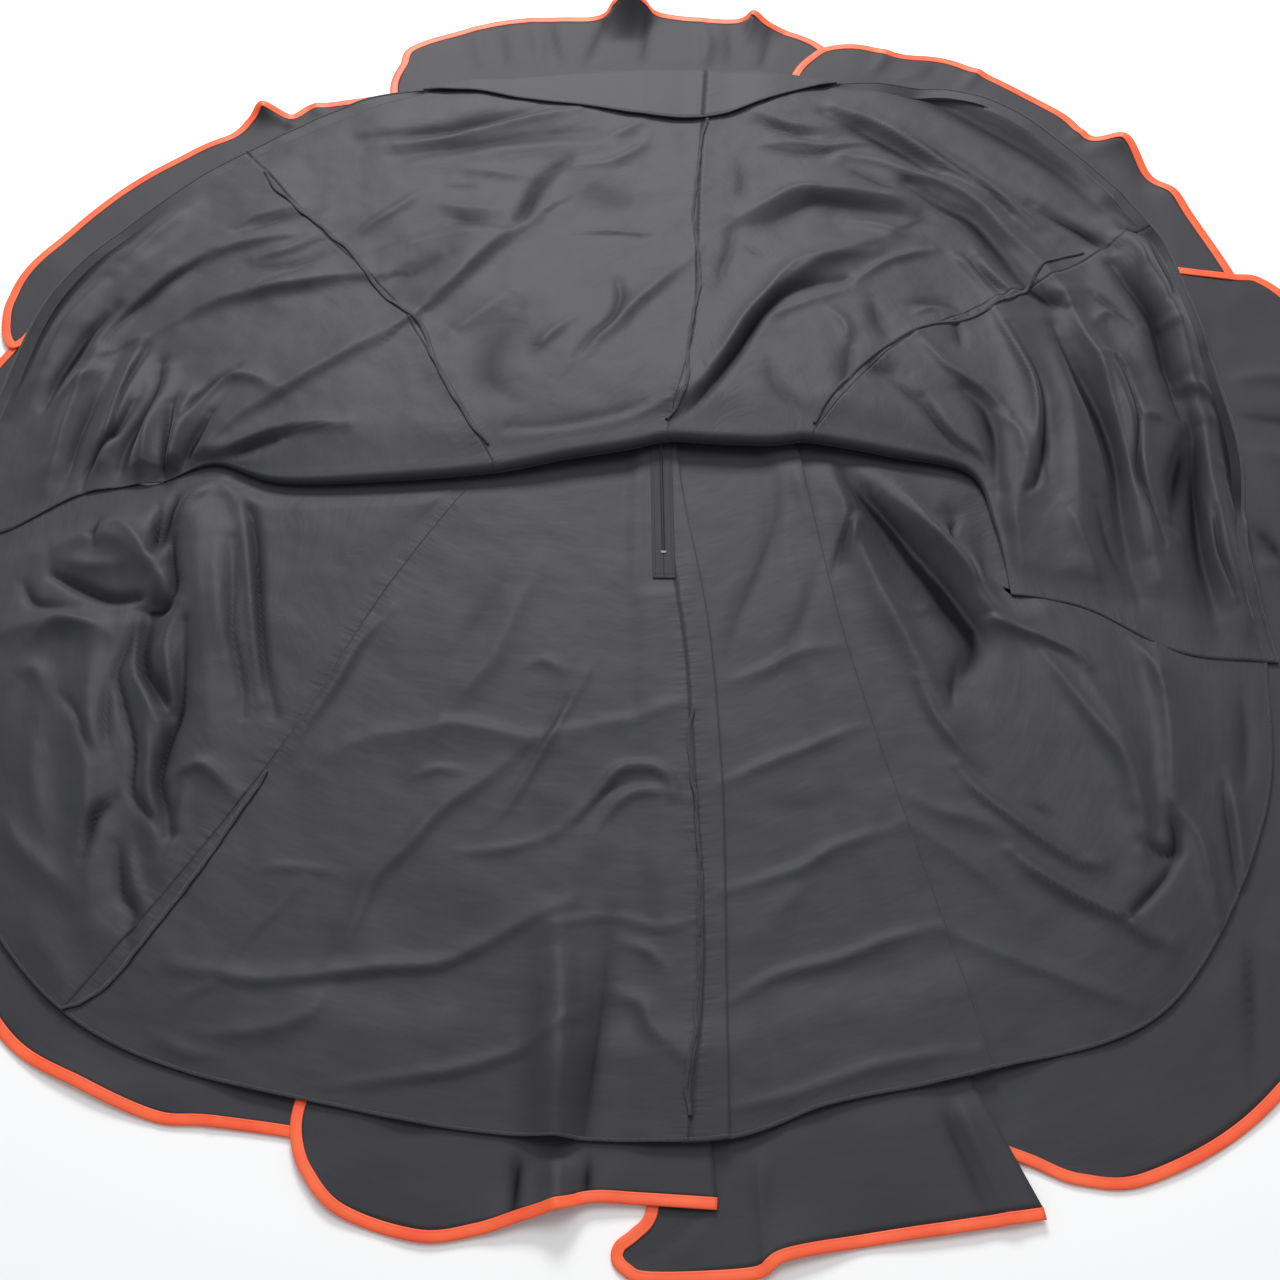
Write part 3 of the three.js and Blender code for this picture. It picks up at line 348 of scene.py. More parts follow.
    [5, [7, 7], [[418, 92], [436, 62], [440, 20]]],
])
BACK_CREASES = table(CREASE, [
    # the broad folds of the back half
    [15, [26, 22], [[-690, -112], [-618, -92], [-540, -150]]],
    [10, [26, 26], [[-528, -20], [-496, -160], [-440, -392]]],
    [10, [12, 12], [[-548, -210], [-512, -380], [-480, -500]]],
    [12, [17, 17], [[-604, -230], [-572, -400], [-532, -566]]],
    [8, [15, 15], [[-720, -232], [-650, -208], [-580, -212]]],
    [16, [17, 17], [[-66, -800], [-64, -720], [-64, -650], [-74, -560]]],
    [12, [15, 18], [[270, -12], [346, -110], [392, -196]]],
    [9, [18, 8], [[566, -176], [556, -260], [552, -340], [534, -462]]],
    # side back, left
    [-10, [6, 6], [[-638, -15], [-636, -68], [-629, -104]]],
    [-10, [4, 4], [[-566, -40], [-562, -80], [-558, -116]]],
    [-14, [6, 6], [[-549, -16], [-551, -60], [-554, -116]]],
    [7, [9, 10], [[-620, -68], [-596, -80], [-566, -116], [-524, -176]]],
    [8, [12, 12], [[-664, -124], [-630, -132], [-590, -132]]],
    [-17, [6, 5], [[-668, -144], [-632, -162], [-596, -176], [-564, -174]]],
    [-6, [6, 6], [[-698, -158], [-680, -182], [-638, -188]]],
    [-10, [7, 7], [[-542, -74], [-536, -116], [-524, -164], [-536, -194]]],
    [-14, [6, 6], [[-560, -188], [-542, -190], [-524, -186]]],
    [9, [8, 8], [[-548, -72], [-531, -34], [-512, -3], [-493, -10], [-469, -34]]],
    [-9, [5, 5], [[-484, -14], [-458, -53], [-445, -96], [-432, -158], [-422, -208], [-407, -270],
                  [-388, -322]]],
    [6, [6, 6], [[-469, -41], [-450, -115], [-425, -220], [-404, -307]]],
    [-5, [4, 4], [[-472, -90], [-462, -146], [-450, -220], [-431, -282], [-422, -326]]],
    [6, [12, 12], [[-490, -84], [-475, -165], [-450, -258]]],
    [-20, [10, 9], [[-546, -180], [-547, -227], [-540, -264], [-522, -295], [-500, -322]]],
    [8, [6, 6], [[-516, -185], [-521, -233], [-512, -270], [-500, -318]]],
    [-12, [6, 7], [[-503, -208], [-496, -270], [-490, -320], [-496, -363], [-496, -406], [-484, -437],
                   [-472, -465]]],
    [-7, [5, 5], [[-568, -171], [-562, -220], [-568, -270], [-555, -307], [-531, -363], [-521, -419],
                  [-493, -450], [-474, -463]]],
    [6, [5, 5], [[-565, -183], [-555, -239], [-543, -282], [-512, -332], [-500, -369]]],
    [-5, [4, 4], [[-574, -282], [-568, -332], [-558, -369]]],
    [-5, [5, 5], [[-624, -301], [-599, -326], [-580, -363], [-568, -384]]],
    [7, [6, 10], [[-673, -233], [-648, -211], [-617, -213], [-593, -220]]],
    [5, [10, 10], [[-676, -284], [-661, -270], [-640, -298]]],
    [-10, [6, 6], [[-543, -425], [-555, -450], [-555, -493]]],
    [-8, [5, 5], [[-527, -475], [-518, -506], [-510, -530], [-494, -552], [-492, -588]]],
    [5, [5, 5], [[-512, -484], [-504, -512], [-486, -545]]],
    [6, [6, 6], [[-484, -400], [-470, -389], [-450, -388], [-413, -418]]],
    [4, [4, 4], [[-469, -396], [-468, -456], [-472, -512]]],
    [5, [9, 12], [[-648, -450], [-624, -481], [-555, -537]]],
    [5, [18, 18], [[-599, -561], [-562, -605], [-537, -642]]],
    [4, [12, 12], [[-640, -330], [-630, -400], [-600, -470]]],
    # back, left
    [6, [7, 10], [[-278, -184], [-308, -228], [-326, -276], [-350, -326], [-364, -364]]],
    [5, [14, 14], [[-116, -120], [-140, -180], [-164, -252], [-200, -306], [-230, -378]]],
    [-3, [12, 12], [[-158, -146], [-180, -190], [-200, -240]]],
    [5, [16, 6], [[-20, -326], [-68, -334], [-104, -346], [-140, -340], [-188, -330], [-242, -340],
                  [-284, -346], [-320, -366], [-344, -392]]],
    [3.5, [10, 5], [[55, -302], [28, -306], [0, -318], [-40, -326]]],
    [3, [4, 4], [[-230, -393], [-206, -384], [-176, -387]]],
    [6, [7, 12], [[-116, -354], [-158, -396], [-200, -432], [-230, -474], [-260, -510], [-272, -552],
                  [-290, -600]]],
    [4, [4, 6], [[-56, -264], [-80, -318], [-104, -372], [-128, -420], [-147, -448]]],
    [-3, [5, 5], [[-80, -296], [-96, -340], [-108, -364]]],
    [2.5, [4, 4], [[-380, -501], [-344, -498], [-296, -504]]],
    [3.5, [4, 5], [[-329, -510], [-356, -546], [-380, -576], [-395, -609]]],
    [6, [5, 9], [[-60, -532], [-104, -553], [-152, -582], [-188, -599], [-242, -604], [-296, -612],
                 [-362, -618], [-404, -612], [-446, -606]]],
    [4, [22, 22], [[-20, -450], [-50, -480], [-80, -534]]],
    [2.5, [3.5, 3.5], [[-80, -558], [-20, -546], [28, -558], [74, -545]]],
    [6, [5, 5], [[-84, -458], [-50, -426], [-22, -386], [4, -378], [32, -390], [40, -414]]],
    [5, [5, 5], [[-44, -456], [-20, -422], [4, -408], [34, -411]]],
    [-4, [4, 4], [[-60, -446], [-34, -412], [-8, -396], [20, -396]]],
    [3, [4, 4], [[-176, -480], [-128, -474], [-80, -457]]],
    [4, [5, 6], [[-8, -573], [16, -582], [34, -600]]],
    [5, [8, 8], [[-20, -624], [10, -636], [22, -660], [56, -690]]],
    [-7, [8, 8], [[-20, -540], [-26, -630], [-32, -690], [-38, -746], [-42, -800]]],
    [5, [8, 8], [[-82, -620], [-77, -690], [-80, -742]]],
    [5, [8, 10], [[-290, -626], [-308, -654], [-350, -669], [-406, -673]]],
    [4, [4, 6], [[-44, -648], [-68, -660], [-104, -684], [-170, -705], [-224, -714], [-274, -721]]],
    [3, [4, 4], [[-398, -621], [-414, -628], [-430, -638]]],
    [3, [7, 7], [[-386, -692], [-416, -690], [-450, -676]]],
    [3, [5, 5], [[-120, -254], [-104, -250], [-82, -262]]],
    # back, right
    [-4, [8, 8], [[154, 4], [150, -50], [132, -114], [103, -194], [92, -244]]],
    [4, [12, 10], [[173, 30], [180, -10], [192, -70]]],
    [-3, [9, 9], [[197, -122], [175, -194], [146, -244]]],
    [4.5, [6, 8], [[96, -273], [132, -258], [168, -238], [216, -229]]],
    [4.5, [5, 7], [[89, -396], [132, -374], [182, -352], [232, -330]]],
    [4.5, [5, 7], [[89, -518], [132, -503], [168, -489], [204, -467], [266, -446]]],
    [5, [5, 7], [[89, -634], [139, -604], [190, -590], [247, -568], [290, -556]]],
    [3, [16, 16], [[132, -556], [150, -530], [170, -508]]],
    [3.5, [5, 7], [[92, -735], [154, -719], [240, -690], [326, -676]]],
    [-3, [12, 12], [[130, -420], [170, -420], [210, -410]]],
    # side back, right
    [-4, [30, 34], [[232, 30], [256, -50], [296, -130], [350, -210]]],
    [12, [14, 18], [[216, 30], [236, -60], [262, -150], [300, -250], [330, -330]]],
    [9, [12, 16], [[470, -250], [500, -330], [512, -420], [500, -500]]],
    [-6, [4, 4], [[240, -42], [226, -86], [215, -129]]],
    [5, [5, 5], [[250, -50], [238, -80], [232, -110]]],
    [-18, [10, 9], [[227, 31], [251, -22], [278, -66], [303, -112], [333, -160], [362, -206]]],
    [12, [16, 14], [[268, 20], [300, -28], [332, -82], [362, -125], [384, -165], [390, -198]]],
    [-12, [15, 15], [[312, -122], [338, -176], [360, -226], [338, -280]]],
    [-14, [9, 9], [[372, 20], [390, -10], [395, -50], [386, -110], [380, -150]]],
    [-8, [5, 5], [[348, -40], [350, -66], [348, -96]]],
    [4, [5, 5], [[322, -22], [344, -34], [366, -30]]],
    [9, [5, 6], [[384, -197], [413, -208], [442, -222], [467, -237], [479, -256]]],
    [7, [9, 8], [[427, -222], [449, -266], [478, -323], [499, -366], [506, -417]]],
    [5, [5, 5], [[298, -273], [312, -316], [334, -352], [355, -374]]],
    [8, [5, 6], [[330, -374], [348, -402], [377, -431], [406, -456], [442, -482], [465, -485]]],
    [9, [5, 7], [[377, -471], [398, -492], [434, -518], [478, -543], [499, -561], [522, -568]]],
    [4, [8, 10], [[269, -402], [305, -424], [348, -438], [377, -453]]],
    [5, [5, 9], [[305, -554], [348, -575], [384, -590], [434, -611], [478, -629]]],
    [-3, [4, 4], [[404, -422], [414, -426], [427, -438]]],
    [-4, [4, 4], [[341, -248], [334, -276], [330, -304]]],
    [3, [4, 4], [[283, -176], [305, -184], [326, -165]]],
    [5, [6, 6], [[528, -204], [546, -237], [553, -282]]],
    [-9, [6, 6], [[539, -424], [542, -453], [534, -474], [506, -460]]],
    [-6, [4, 4], [[542, -474], [521, -503], [492, -532], [478, -546]]],
    [6, [5, 5], [[546, -417], [564, -453], [568, -496], [571, -546]]],
    [-6, [4, 4], [[600, -395], [596, -460], [593, -518]]],
    [4, [5, 5], [[608, -380], [606, -440], [602, -500]]],
    [-4, [8, 8], [[640, -280], [632, -340], [620, -400]]],
    [4, [10, 10], [[250, -420], [330, -480], [390, -540]]],
])

# ---- flounces ----
# Each bound outline runs from the root at one end, round to the root at the other. A shaped end
# takes the first or last four spans of the outline. A plain end is cut straight and hidden. Each
# point is a direction in degrees, a reach from the middle and a height above the floor.
FLOUNCES = {
    "front_right": {"shaped_end": True, "lap_from": 70.8, "outline": [
        [23.4, 816, 0], [27, 826, 0], [32.6, 842, 3], [35.6, 852, 8], [38.6, 852, 2], [42.6, 868, 22],
        [45.6, 852, 2], [50, 869, 0], [60.8, 882, 0], [66, 864, 0], [70.5, 856, 0], [73.3, 838, 0],
        [74.5, 812, 0], [75.3, 784, 0], [75.6, 756, 0], [75.6, 728, 0]]},
    "front": {"shaped_end": True, "lap_from": 114.5, "outline": [
        [71.5, 822, 0], [74.5, 850, 0], [77.4, 864, 0], [79.4, 872, 8], [81, 880, 18], [82.8, 875, 3],
        [89.6, 884, 2], [91.4, 886, 26], [92.9, 888, 50], [94.4, 885, 26], [96.4, 884, 1],
        [105, 901, 0], [113.6, 886, 0], [116, 851, 0], [117.7, 820, 0], [118.6, 790, 0],
        [118.9, 760, 0]]},
    "front_left": {"shaped_end": True, "lap_from": 157, "outline": [
        [115.2, 790, 0], [118.5, 802, 0], [123, 822, 0], [126, 838, 0], [128, 838, 0], [129.8, 866, 20],
        [131.6, 864, 6], [134, 858, 0], [138, 870, 0], [146, 885, 0], [156, 891, 0],
        [160.6, 880, 0], [163.4, 862, 0], [165, 845, 0], [165.5, 829, 0], [164.6, 818, 0],
        [162.9, 814, 0], [160.6, 806, 0]]},
    "left": {"outline": [
        [157.6, 815, 0], [162, 829, 0], [170, 848, 0], [178, 868, 0], [186, 862, 12], [194, 872, 0],
        [203, 874, 9], [212, 884, 0], [221, 892, 0], [229, 905, 0], [235, 888, 4], [240, 872, 0],
        [243, 851, 0], [248, 827, 0], [250.6, 822, 0]]},
    "back_left": {"shaped_start": True, "lap_to": 251.3, "lap_from": 268.4, "outline": [
        [247.6, 745, 0], [247.2, 774, 0], [247.4, 802, 0], [248.3, 828, 0], [250, 852, 0],
        [253, 873, 0], [258, 875, 0], [261.4, 859, 2], [264, 842, 9], [266.4, 830, 10],
        [268, 821, 3], [271, 821, 0], [275.7, 828, 0]]},
    "back_right": {"shaped_start": True, "lap_from": 287.9, "outline": [
        [271.4, 792, 0], [271.3, 826, 0], [270.4, 841, 0], [269.5, 852, 0], [269.3, 866, 0],
        [270, 879, 0], [271.6, 887, 0], [277.4, 889, 3], [279.4, 878, 7], [284, 878, 0],
        [289.3, 889, 0], [294.2, 906, 0]]},
    "right": {"shaped_start": True, "shaped_end": True, "lap_from": 382.6, "outline": [
        [288.9, 780, 0], [290.6, 804, 0], [292.6, 828, 0], [294.8, 858, 0], [297, 893, 0],
        [300.6, 921, 0], [308, 933, 0], [318, 924, 0], [326, 912, 10], [334, 904, 0], [343, 898, 0],
        [351, 893, 12], [359, 888, 0], [367, 880, 4], [374, 870, 0], [380, 860, 0], [383.5, 843, 0],
        [384.7, 818, 0], [385.8, 796, 0], [387.1, 772, 0], [388.6, 748, 0]]},
}
FLOUNCE_CREASES = table(CREASE, [
    [-5, [8, 10], [[-68, 902], [-90, 830], [-108, 758]]],
    [-5, [8, 8], [[-18, 902], [-20, 830], [-24, 758]]],
    [4, [6, 5], [[122, -768], [121, -820], [122, -878]]],
    [6, [7, 6], [[300, -714], [312, -752], [342, -830]]],
    [-5, [7, 7], [[286, -716], [296, -752], [324, -830]]],
    [-12, [6, 7], [[-101, -725], [-97, -800], [-94, -880]]],
    [14, [12, 12], [[-66, -740], [-62, -790], [-60, -850]]],
    [-12, [6, 6], [[-33, -720], [-34, -790], [-36, -860]]],
    [1.5, [3, 3], [[-374, -722], [-378, -740], [-382, -760]]],
    [7, [14, 14], [[700, -420], [760, -400], [800, -360]]],
    [-5, [6, 6], [[598, -500], [590, -590], [572, -700]]],
    [-6, [6, 6], [[629, -453], [622, -490], [614, -532]]],
    [6, [10, 10], [[612, -560], [640, -600], [660, -680]]],
    [9, [14, 12], [[680, -120], [740, -110], [820, -130]]],
    [-8, [9, 9], [[680, -36], [708, -84], [740, -150]]],
    [7, [13, 12], [[690, 160], [760, 170], [830, 150]]],
    [6, [12, 12], [[690, 60], [760, 40], [840, 30]]],
    [-6, [9, 9], [[700, 110], [760, 100], [840, 90]]],
    [5, [12, 12], [[-700, -520], [-740, -560], [-690, -640]]],
    [6, [10, 12], [[-780, -200], [-830, -220], [-850, -260]]],
    [7, [11, 10], [[-800, 0], [-840, 20], [-870, 10]]],
    [4, [10, 9], [[-250, 760], [-262, 810], [-270, 850]]],
    [-3, [9, 9], [[-216, 760], [-222, 810], [-230, 860]]],
    [4, [10, 9], [[-170, 760], [-176, 820], [-190, 870]]],
    [-4, [7, 7], [[-138, 770], [-150, 820], [-160, 874]]],
    [5, [9, 9], [[64, 750], [70, 810], [60, 870]]],
    [-4, [8, 8], [[98, 752], [100, 810], [96, 868]]],
    [-5, [8, 8], [[142, 750], [154, 810], [164, 878]]],
    [4, [9, 9], [[300, 740], [320, 770], [330, 800]]],
    [-3, [7, 7], [[370, 722], [386, 750], [398, 774]]],
    [4, [9, 9], [[420, 700], [450, 740], [470, 760]]],
    [5, [9, 9], [[560, 600], [590, 620], [610, 640]]],
    [4, [9, 9], [[-470, 650], [-480, 670], [-490, 690]]],
    [-5, [6, 6], [[-520, 610], [-516, 640], [-512, 660]]],
])

LAPS = table(["first", "last"], [
    [67, 78], [110.5, 121], [153, 167.5], [244.5, 254], [265, 278.5], [284, 297], [379, 391],
])
LAP_EASE = 4  # degrees over which a gore settles beside a lap
ROOT_EASE = 6  # a gore begins to settle this far in from the flounces' roots


def flounce_height(x, y):
    """How far a gore lies above the floor for the flounces under it."""
    at = np.degrees(np.arctan2(y, x)) % 360
    inside = hem_reach(at) - np.hypot(x, y)
    doubled = np.zeros_like(at)
    for lap in LAPS:
        along = (at - lap["first"] + 180) % 360 - 180
        span = lap["last"] - lap["first"]
        into = smooth(along, -LAP_EASE, 0) * (1 - smooth(along, span, span + LAP_EASE))
        doubled = np.maximum(doubled, into)
    return (FLOUNCE_REST + LAP_REST * doubled) * (1 - smooth(inside, FLOUNCE_ROOT + ROOT_EASE, SETTLED))


CREASE_PEAK = 1.5  # 2 is a round crest, and 1 a sharp one
CREASE_STEPS = 48
CREASE_MARGIN = 3.6  # a crease is worked out up to this many half widths away
CREASE_TIP = 0.06  # its ends keep the height that it has this share of its length further in
CREASE_TAPER = 0.6  # how blunt its two ends are
RIDGE_SPREAD = 1.15  # a ridge is this much wider than listed, and a trough as listed
DARK_DEPTH = 10  # a trough this deep gets full painted shade
DARK_CORE = 1.3  # and how fast the painted shade ends towards its sides


def relief(x, y, creases):
    """Height of all creases at plan points, and the painted shade of narrow troughs there, 0 to 1."""
    height = np.zeros(x.shape)
    painted_shade = np.zeros(x.shape)
    for crease in creases:
        line = through(crease["along"], np.linspace(0, 1, CREASE_STEPS))
        way = np.gradient(line, axis=0)
        pace = np.linalg.norm(way, axis=1)
        way /= pace[:, None]
        left = to_left(way)
        margin = CREASE_MARGIN * max(crease["half"])
        low, high = line.min(0) - margin, line.max(0) + margin
        near = (x > low[0]) & (x < high[0]) & (y > low[1]) & (y < high[1])
        if not near.any():
            continue
        from_line = np.stack([x[near], y[near]], 1)[:, None, :] - line
        k = (from_line ** 2).sum(2).argmin(1)
        offset = from_line[np.arange(len(k)), k]
        side = (offset * left[k]).sum(1)
        ahead = (offset * way[k]).sum(1) / pace[k]
        share = (k + ahead) / (CREASE_STEPS - 1)
        beyond = (np.clip(share, 0, 1) - share) * (CREASE_STEPS - 1) * pace[k]
        spread = RIDGE_SPREAD if crease["high"] > 0 else 1
        half = spread * np.where(side > 0, crease["half"][0], crease["half"][1])
        away = np.hypot(side, beyond) / half
        ends = np.sin(np.pi * np.clip(share, CREASE_TIP, 1 - CREASE_TIP)) ** CREASE_TAPER
        wave = ends * np.exp(-away ** CREASE_PEAK)
        height[near] += crease["high"] * wave
        # a trough also adds painted shade, darkest along its middle
        if crease["high"] < 0:
            painted_shade[near] += min(1, -crease["high"] / DARK_DEPTH) * wave ** DARK_CORE
    return height, np.clip(painted_shade, 0, 1)


FLOOR_EASE = 1.0  # what is left of a height of zero


def above(height):
    """The height itself where it is well above zero, easing to zero below."""
    return (height + np.sqrt(height ** 2 + (2 * FLOOR_EASE) ** 2)) / 2


ROLL_STEPS = 121
ROLL_LINE = through([line["roll"] for line in FRONT_LINES], np.linspace(0, 1, ROLL_STEPS))
PAST_ROLL_END = 20  # below this beside the roll's right end, distances are from the end itself


def out_from_roll(x, y):
    """How far a plan point lies out from the roll line over the back half, negative behind the line."""
    way = ways(ROLL_LINE)
    from_roll = np.stack([x, y], -1)[..., None, :] - ROLL_LINE
    k = (from_roll ** 2).sum(-1).argmin(-1)
    offset = np.take_along_axis(from_roll, k[..., None, None], -2)[..., 0, :]
    beside = offset[..., 1] * way[k, 0] - offset[..., 0] * way[k, 1]
    past_end = (k == 0) & (offset[..., 1] < PAST_ROLL_END)
    return np.where(past_end, np.linalg.norm(offset, axis=-1), beside)


# ---- meshes ----
def to_frame(points):
    return (np.asarray(points) + PLAN_TO_FRAME) * MM


def mesh_piece(name, vertices, faces):
    mesh = bpy.data.meshes.new(name)
    mesh.from_pydata(to_frame(vertices).tolist(), [], faces)
    body = bmesh.new()
    body.from_mesh(mesh)
    bmesh.ops.recalc_face_normals(body, faces=body.faces)
    body.to_mesh(mesh)
    body.free()
    mesh.update()
    mesh.shade_smooth()
    piece = bpy.data.objects.new(name, mesh)
    bpy.context.scene.collection.objects.link(piece)
    return piece


def grid_faces(columns, rows, closed=False, looped=False):
    """Faces between the points of a grid. Closed joins its last row to the first, and looped its columns."""
    i, j = np.meshgrid(
        np.arange(columns if looped else columns - 1), np.arange(rows if closed else rows - 1), indexing="ij")
    m, k = (i + 1) % columns, (j + 1) % rows
    quads = np.stack([i * rows + j, m * rows + j, m * rows + k, i * rows + k], -1)
    return quads.reshape(-1, 4).tolist()


UNSEWN = 999.0  # stands for the distance to a sewn edge that a piece hasn't got


def cloth_piece(name, grid, painted_shade, thickness=CLOTH, seams=(True, True)):
    """A thin closed shell on a grid of middle points, with its cloth coordinates as UVs.

    u runs across and v along the piece, both in metres. The attribute seam is the distance to the
    nearest sewn edge, and painted_shade is how much painted shade a point in a trough gets, 0 to 1.
    """
    columns, rows = grid.shape[:2]
    piece = mesh_piece(name, grid.reshape(-1, 3), grid_faces(columns, rows))
    across = np.linalg.norm(np.diff(grid, axis=0, prepend=grid[:1]), axis=2).cumsum(0)
    along = np.linalg.norm(np.diff(grid, axis=1, prepend=grid[:, :1]), axis=2).cumsum(1)
    from_seam = np.full((columns, rows), UNSEWN)
    if seams[0]:
        from_seam = np.minimum(from_seam, across)
    if seams[1]:
        from_seam = np.minimum(from_seam, across[-1] - across)
    middle = across - across[-1] / 2
    mesh = piece.data
    layer = mesh.uv_layers.new(name="cloth")
    corners = np.zeros(len(mesh.loops), int)
    mesh.loops.foreach_get("vertex_index", corners)
    uv = np.stack([middle.ravel()[corners], along.ravel()[corners]], 1) * MM
    layer.data.foreach_set("uv", uv.ravel())
    # painted_shade holds the painted shade of the troughs, which the cloth material darkens by
    for label, values in (("seam", from_seam * MM), ("painted_shade", painted_shade)):
        attribute = mesh.attributes.new(label, "FLOAT", "POINT")
        attribute.data.foreach_set("value", values.ravel().astype(np.float32))
    shell = piece.modifiers.new("wall", "SOLIDIFY")
    shell.thickness = thickness * MM
    shell.offset = 0
    apply_modifiers(piece)
    return piece


def apply_modifiers(piece):
    bpy.context.view_layer.objects.active = piece
    for modifier in list(piece.modifiers):
        bpy.ops.object.modifier_apply(modifier=modifier.name)


def tubes_piece(name, tubes):
    """Closed bodies with capped ends, each through matching sections (stations, points, 3)."""
    tubes = np.asarray(tubes)
    count, stations, around = tubes.shape[:3]
    one = grid_faces(stations, around, closed=True)
    one.append(list(range(around)))
    one.append([(stations - 1) * around + k for k in reversed(range(around))])
    size = stations * around
    faces = [[tube * size + corner for corner in face] for tube in range(count) for face in one]
    return mesh_piece(name, tubes.reshape(-1, 3), faces)


def ways(path):
    """Unit directions along a path of points."""
    way = np.gradient(path, axis=0)
    return way / (np.linalg.norm(way, axis=1)[:, None] + 1e-9)


def to_left(way):
    """Plan directions turned a quarter to the left."""
    return np.stack([-way[:, 1], way[:, 0]], 1)


def run_along(path):
    """How far each point of a path lies from its start, along the path."""
    return np.concatenate([[0], np.linalg.norm(np.diff(path, axis=0), axis=1).cumsum()])


def evenly(path, step):
    """The path's places at an even step, as shares of its own rows."""
    run = run_along(path)
    wanted = np.linspace(0, run[-1], max(2, int(round(run[-1] / step)) + 1))
    return np.interp(wanted, run, np.arange(len(path)))


def at_shares(values, shares):
    i = np.minimum(shares.astype(int), len(values) - 2)
    w = (shares - i).reshape((-1,) + (1,) * (values.ndim - 1))
    return values[i] * (1 - w) + values[i + 1] * w


# ---- back half ----
BACK_TOP = 0.8  # where along a line its place beside the roll lies
BACK_CURVES = [
    [polar(line["at"], hem_reach(line["at"])), line["low"], line["mid"], line["high"], line["top"],
     line["under"], [line["waist"], back_waist(line["waist"])]]
    for line in BACK_LINES
]
BACK_STEPS = 158  # rows of the back half up to the roll
UNDER_STEPS = 16  # and from there to the waist
OPEN_SPANS, UNDER_SPANS = 4, 2  # spans of a back line up to the roll, and from there to the waist
BACK_V = np.concatenate([np.linspace(0, BACK_TOP, BACK_STEPS), np.linspace(BACK_TOP, 1, UNDER_STEPS)[1:]])
BACK_SPANS = np.where(
    BACK_V < BACK_TOP, OPEN_SPANS * BACK_V / BACK_TOP,
    OPEN_SPANS + UNDER_SPANS * (BACK_V - BACK_TOP) / (1 - BACK_TOP)) / (OPEN_SPANS + UNDER_SPANS)
BACK_ROWS = np.stack([through(curve, BACK_SPANS) for curve in BACK_CURVES], 1)  # (rows, lines, 2)
PLEAT_EDGE = graded([28, 15, 22, 24, 36, 34], BACK_V)
BACK_GAIN = 1.1  # the back half's creases stand this much higher than listed
SEAM_CALM = 0.2  # share of its height that the cloth keeps at a side seam
BACK_LOFT = [5, 8, 2.5, 2, 1.2, 1, 2.2, 6, 6, 3]  # how far the cloth stands off on each line
SWELL = ["length", "high", "shift"]
BACK_SWELLS = table(SWELL, [[170, 1.2, (0, 0)], [75, 0.6, (900, 0)], [33, 0.22, (0, 500)]])
NEAR_ROLL, CLEAR_OF_ROLL = 10, 46  # the back lies flat up to the one, and is free beyond the other
LOFT_FREE = 200  # the loft grows from the middle to here
HEM_EASE = (-0.06, 0.12)  # and from the hem inwards, between these shares of a line
CALM_SPAN = 0.4  # span beside a side seam in which the cloth stays low
ZIP_MIDDLE = 20
ZIP_FLAT, ZIP_FREE = 15, 34  # the cloth is flat this near the zip, and free beyond the other
ZIP_FOOT, ZIP_FLAT_FROM = -166, -146  # the flat part begins below the zip, between these
UPPER, MIDDLE, LOWER = 2, 1, 0  # layers of a pleat
FOLD_RADIUS = 2.5
RISE_FROM, RISE_TO = -78, -40  # beside a pleat the cloth comes up to the top layer between these
PLEAT_BEYOND = 14  # how far the finer columns run on beyond a pleat's edge


def beside(line, distance):
    """A place on each row, as a distance from a numbered line. Distances shrink near the waist."""
    distance = np.broadcast_to(distance, BACK_V.shape)
    shrunk = distance * lerp(1, 0.5, smooth(BACK_V, 0.55, 1))
    step = np.where(distance < 0, -1, 1)
    rows = np.arange(len(BACK_V))
    span = np.linalg.norm(BACK_ROWS[rows, line] - BACK_ROWS[rows, line + step], axis=1)
    return line + np.abs(shrunk / span) * np.sign(distance)


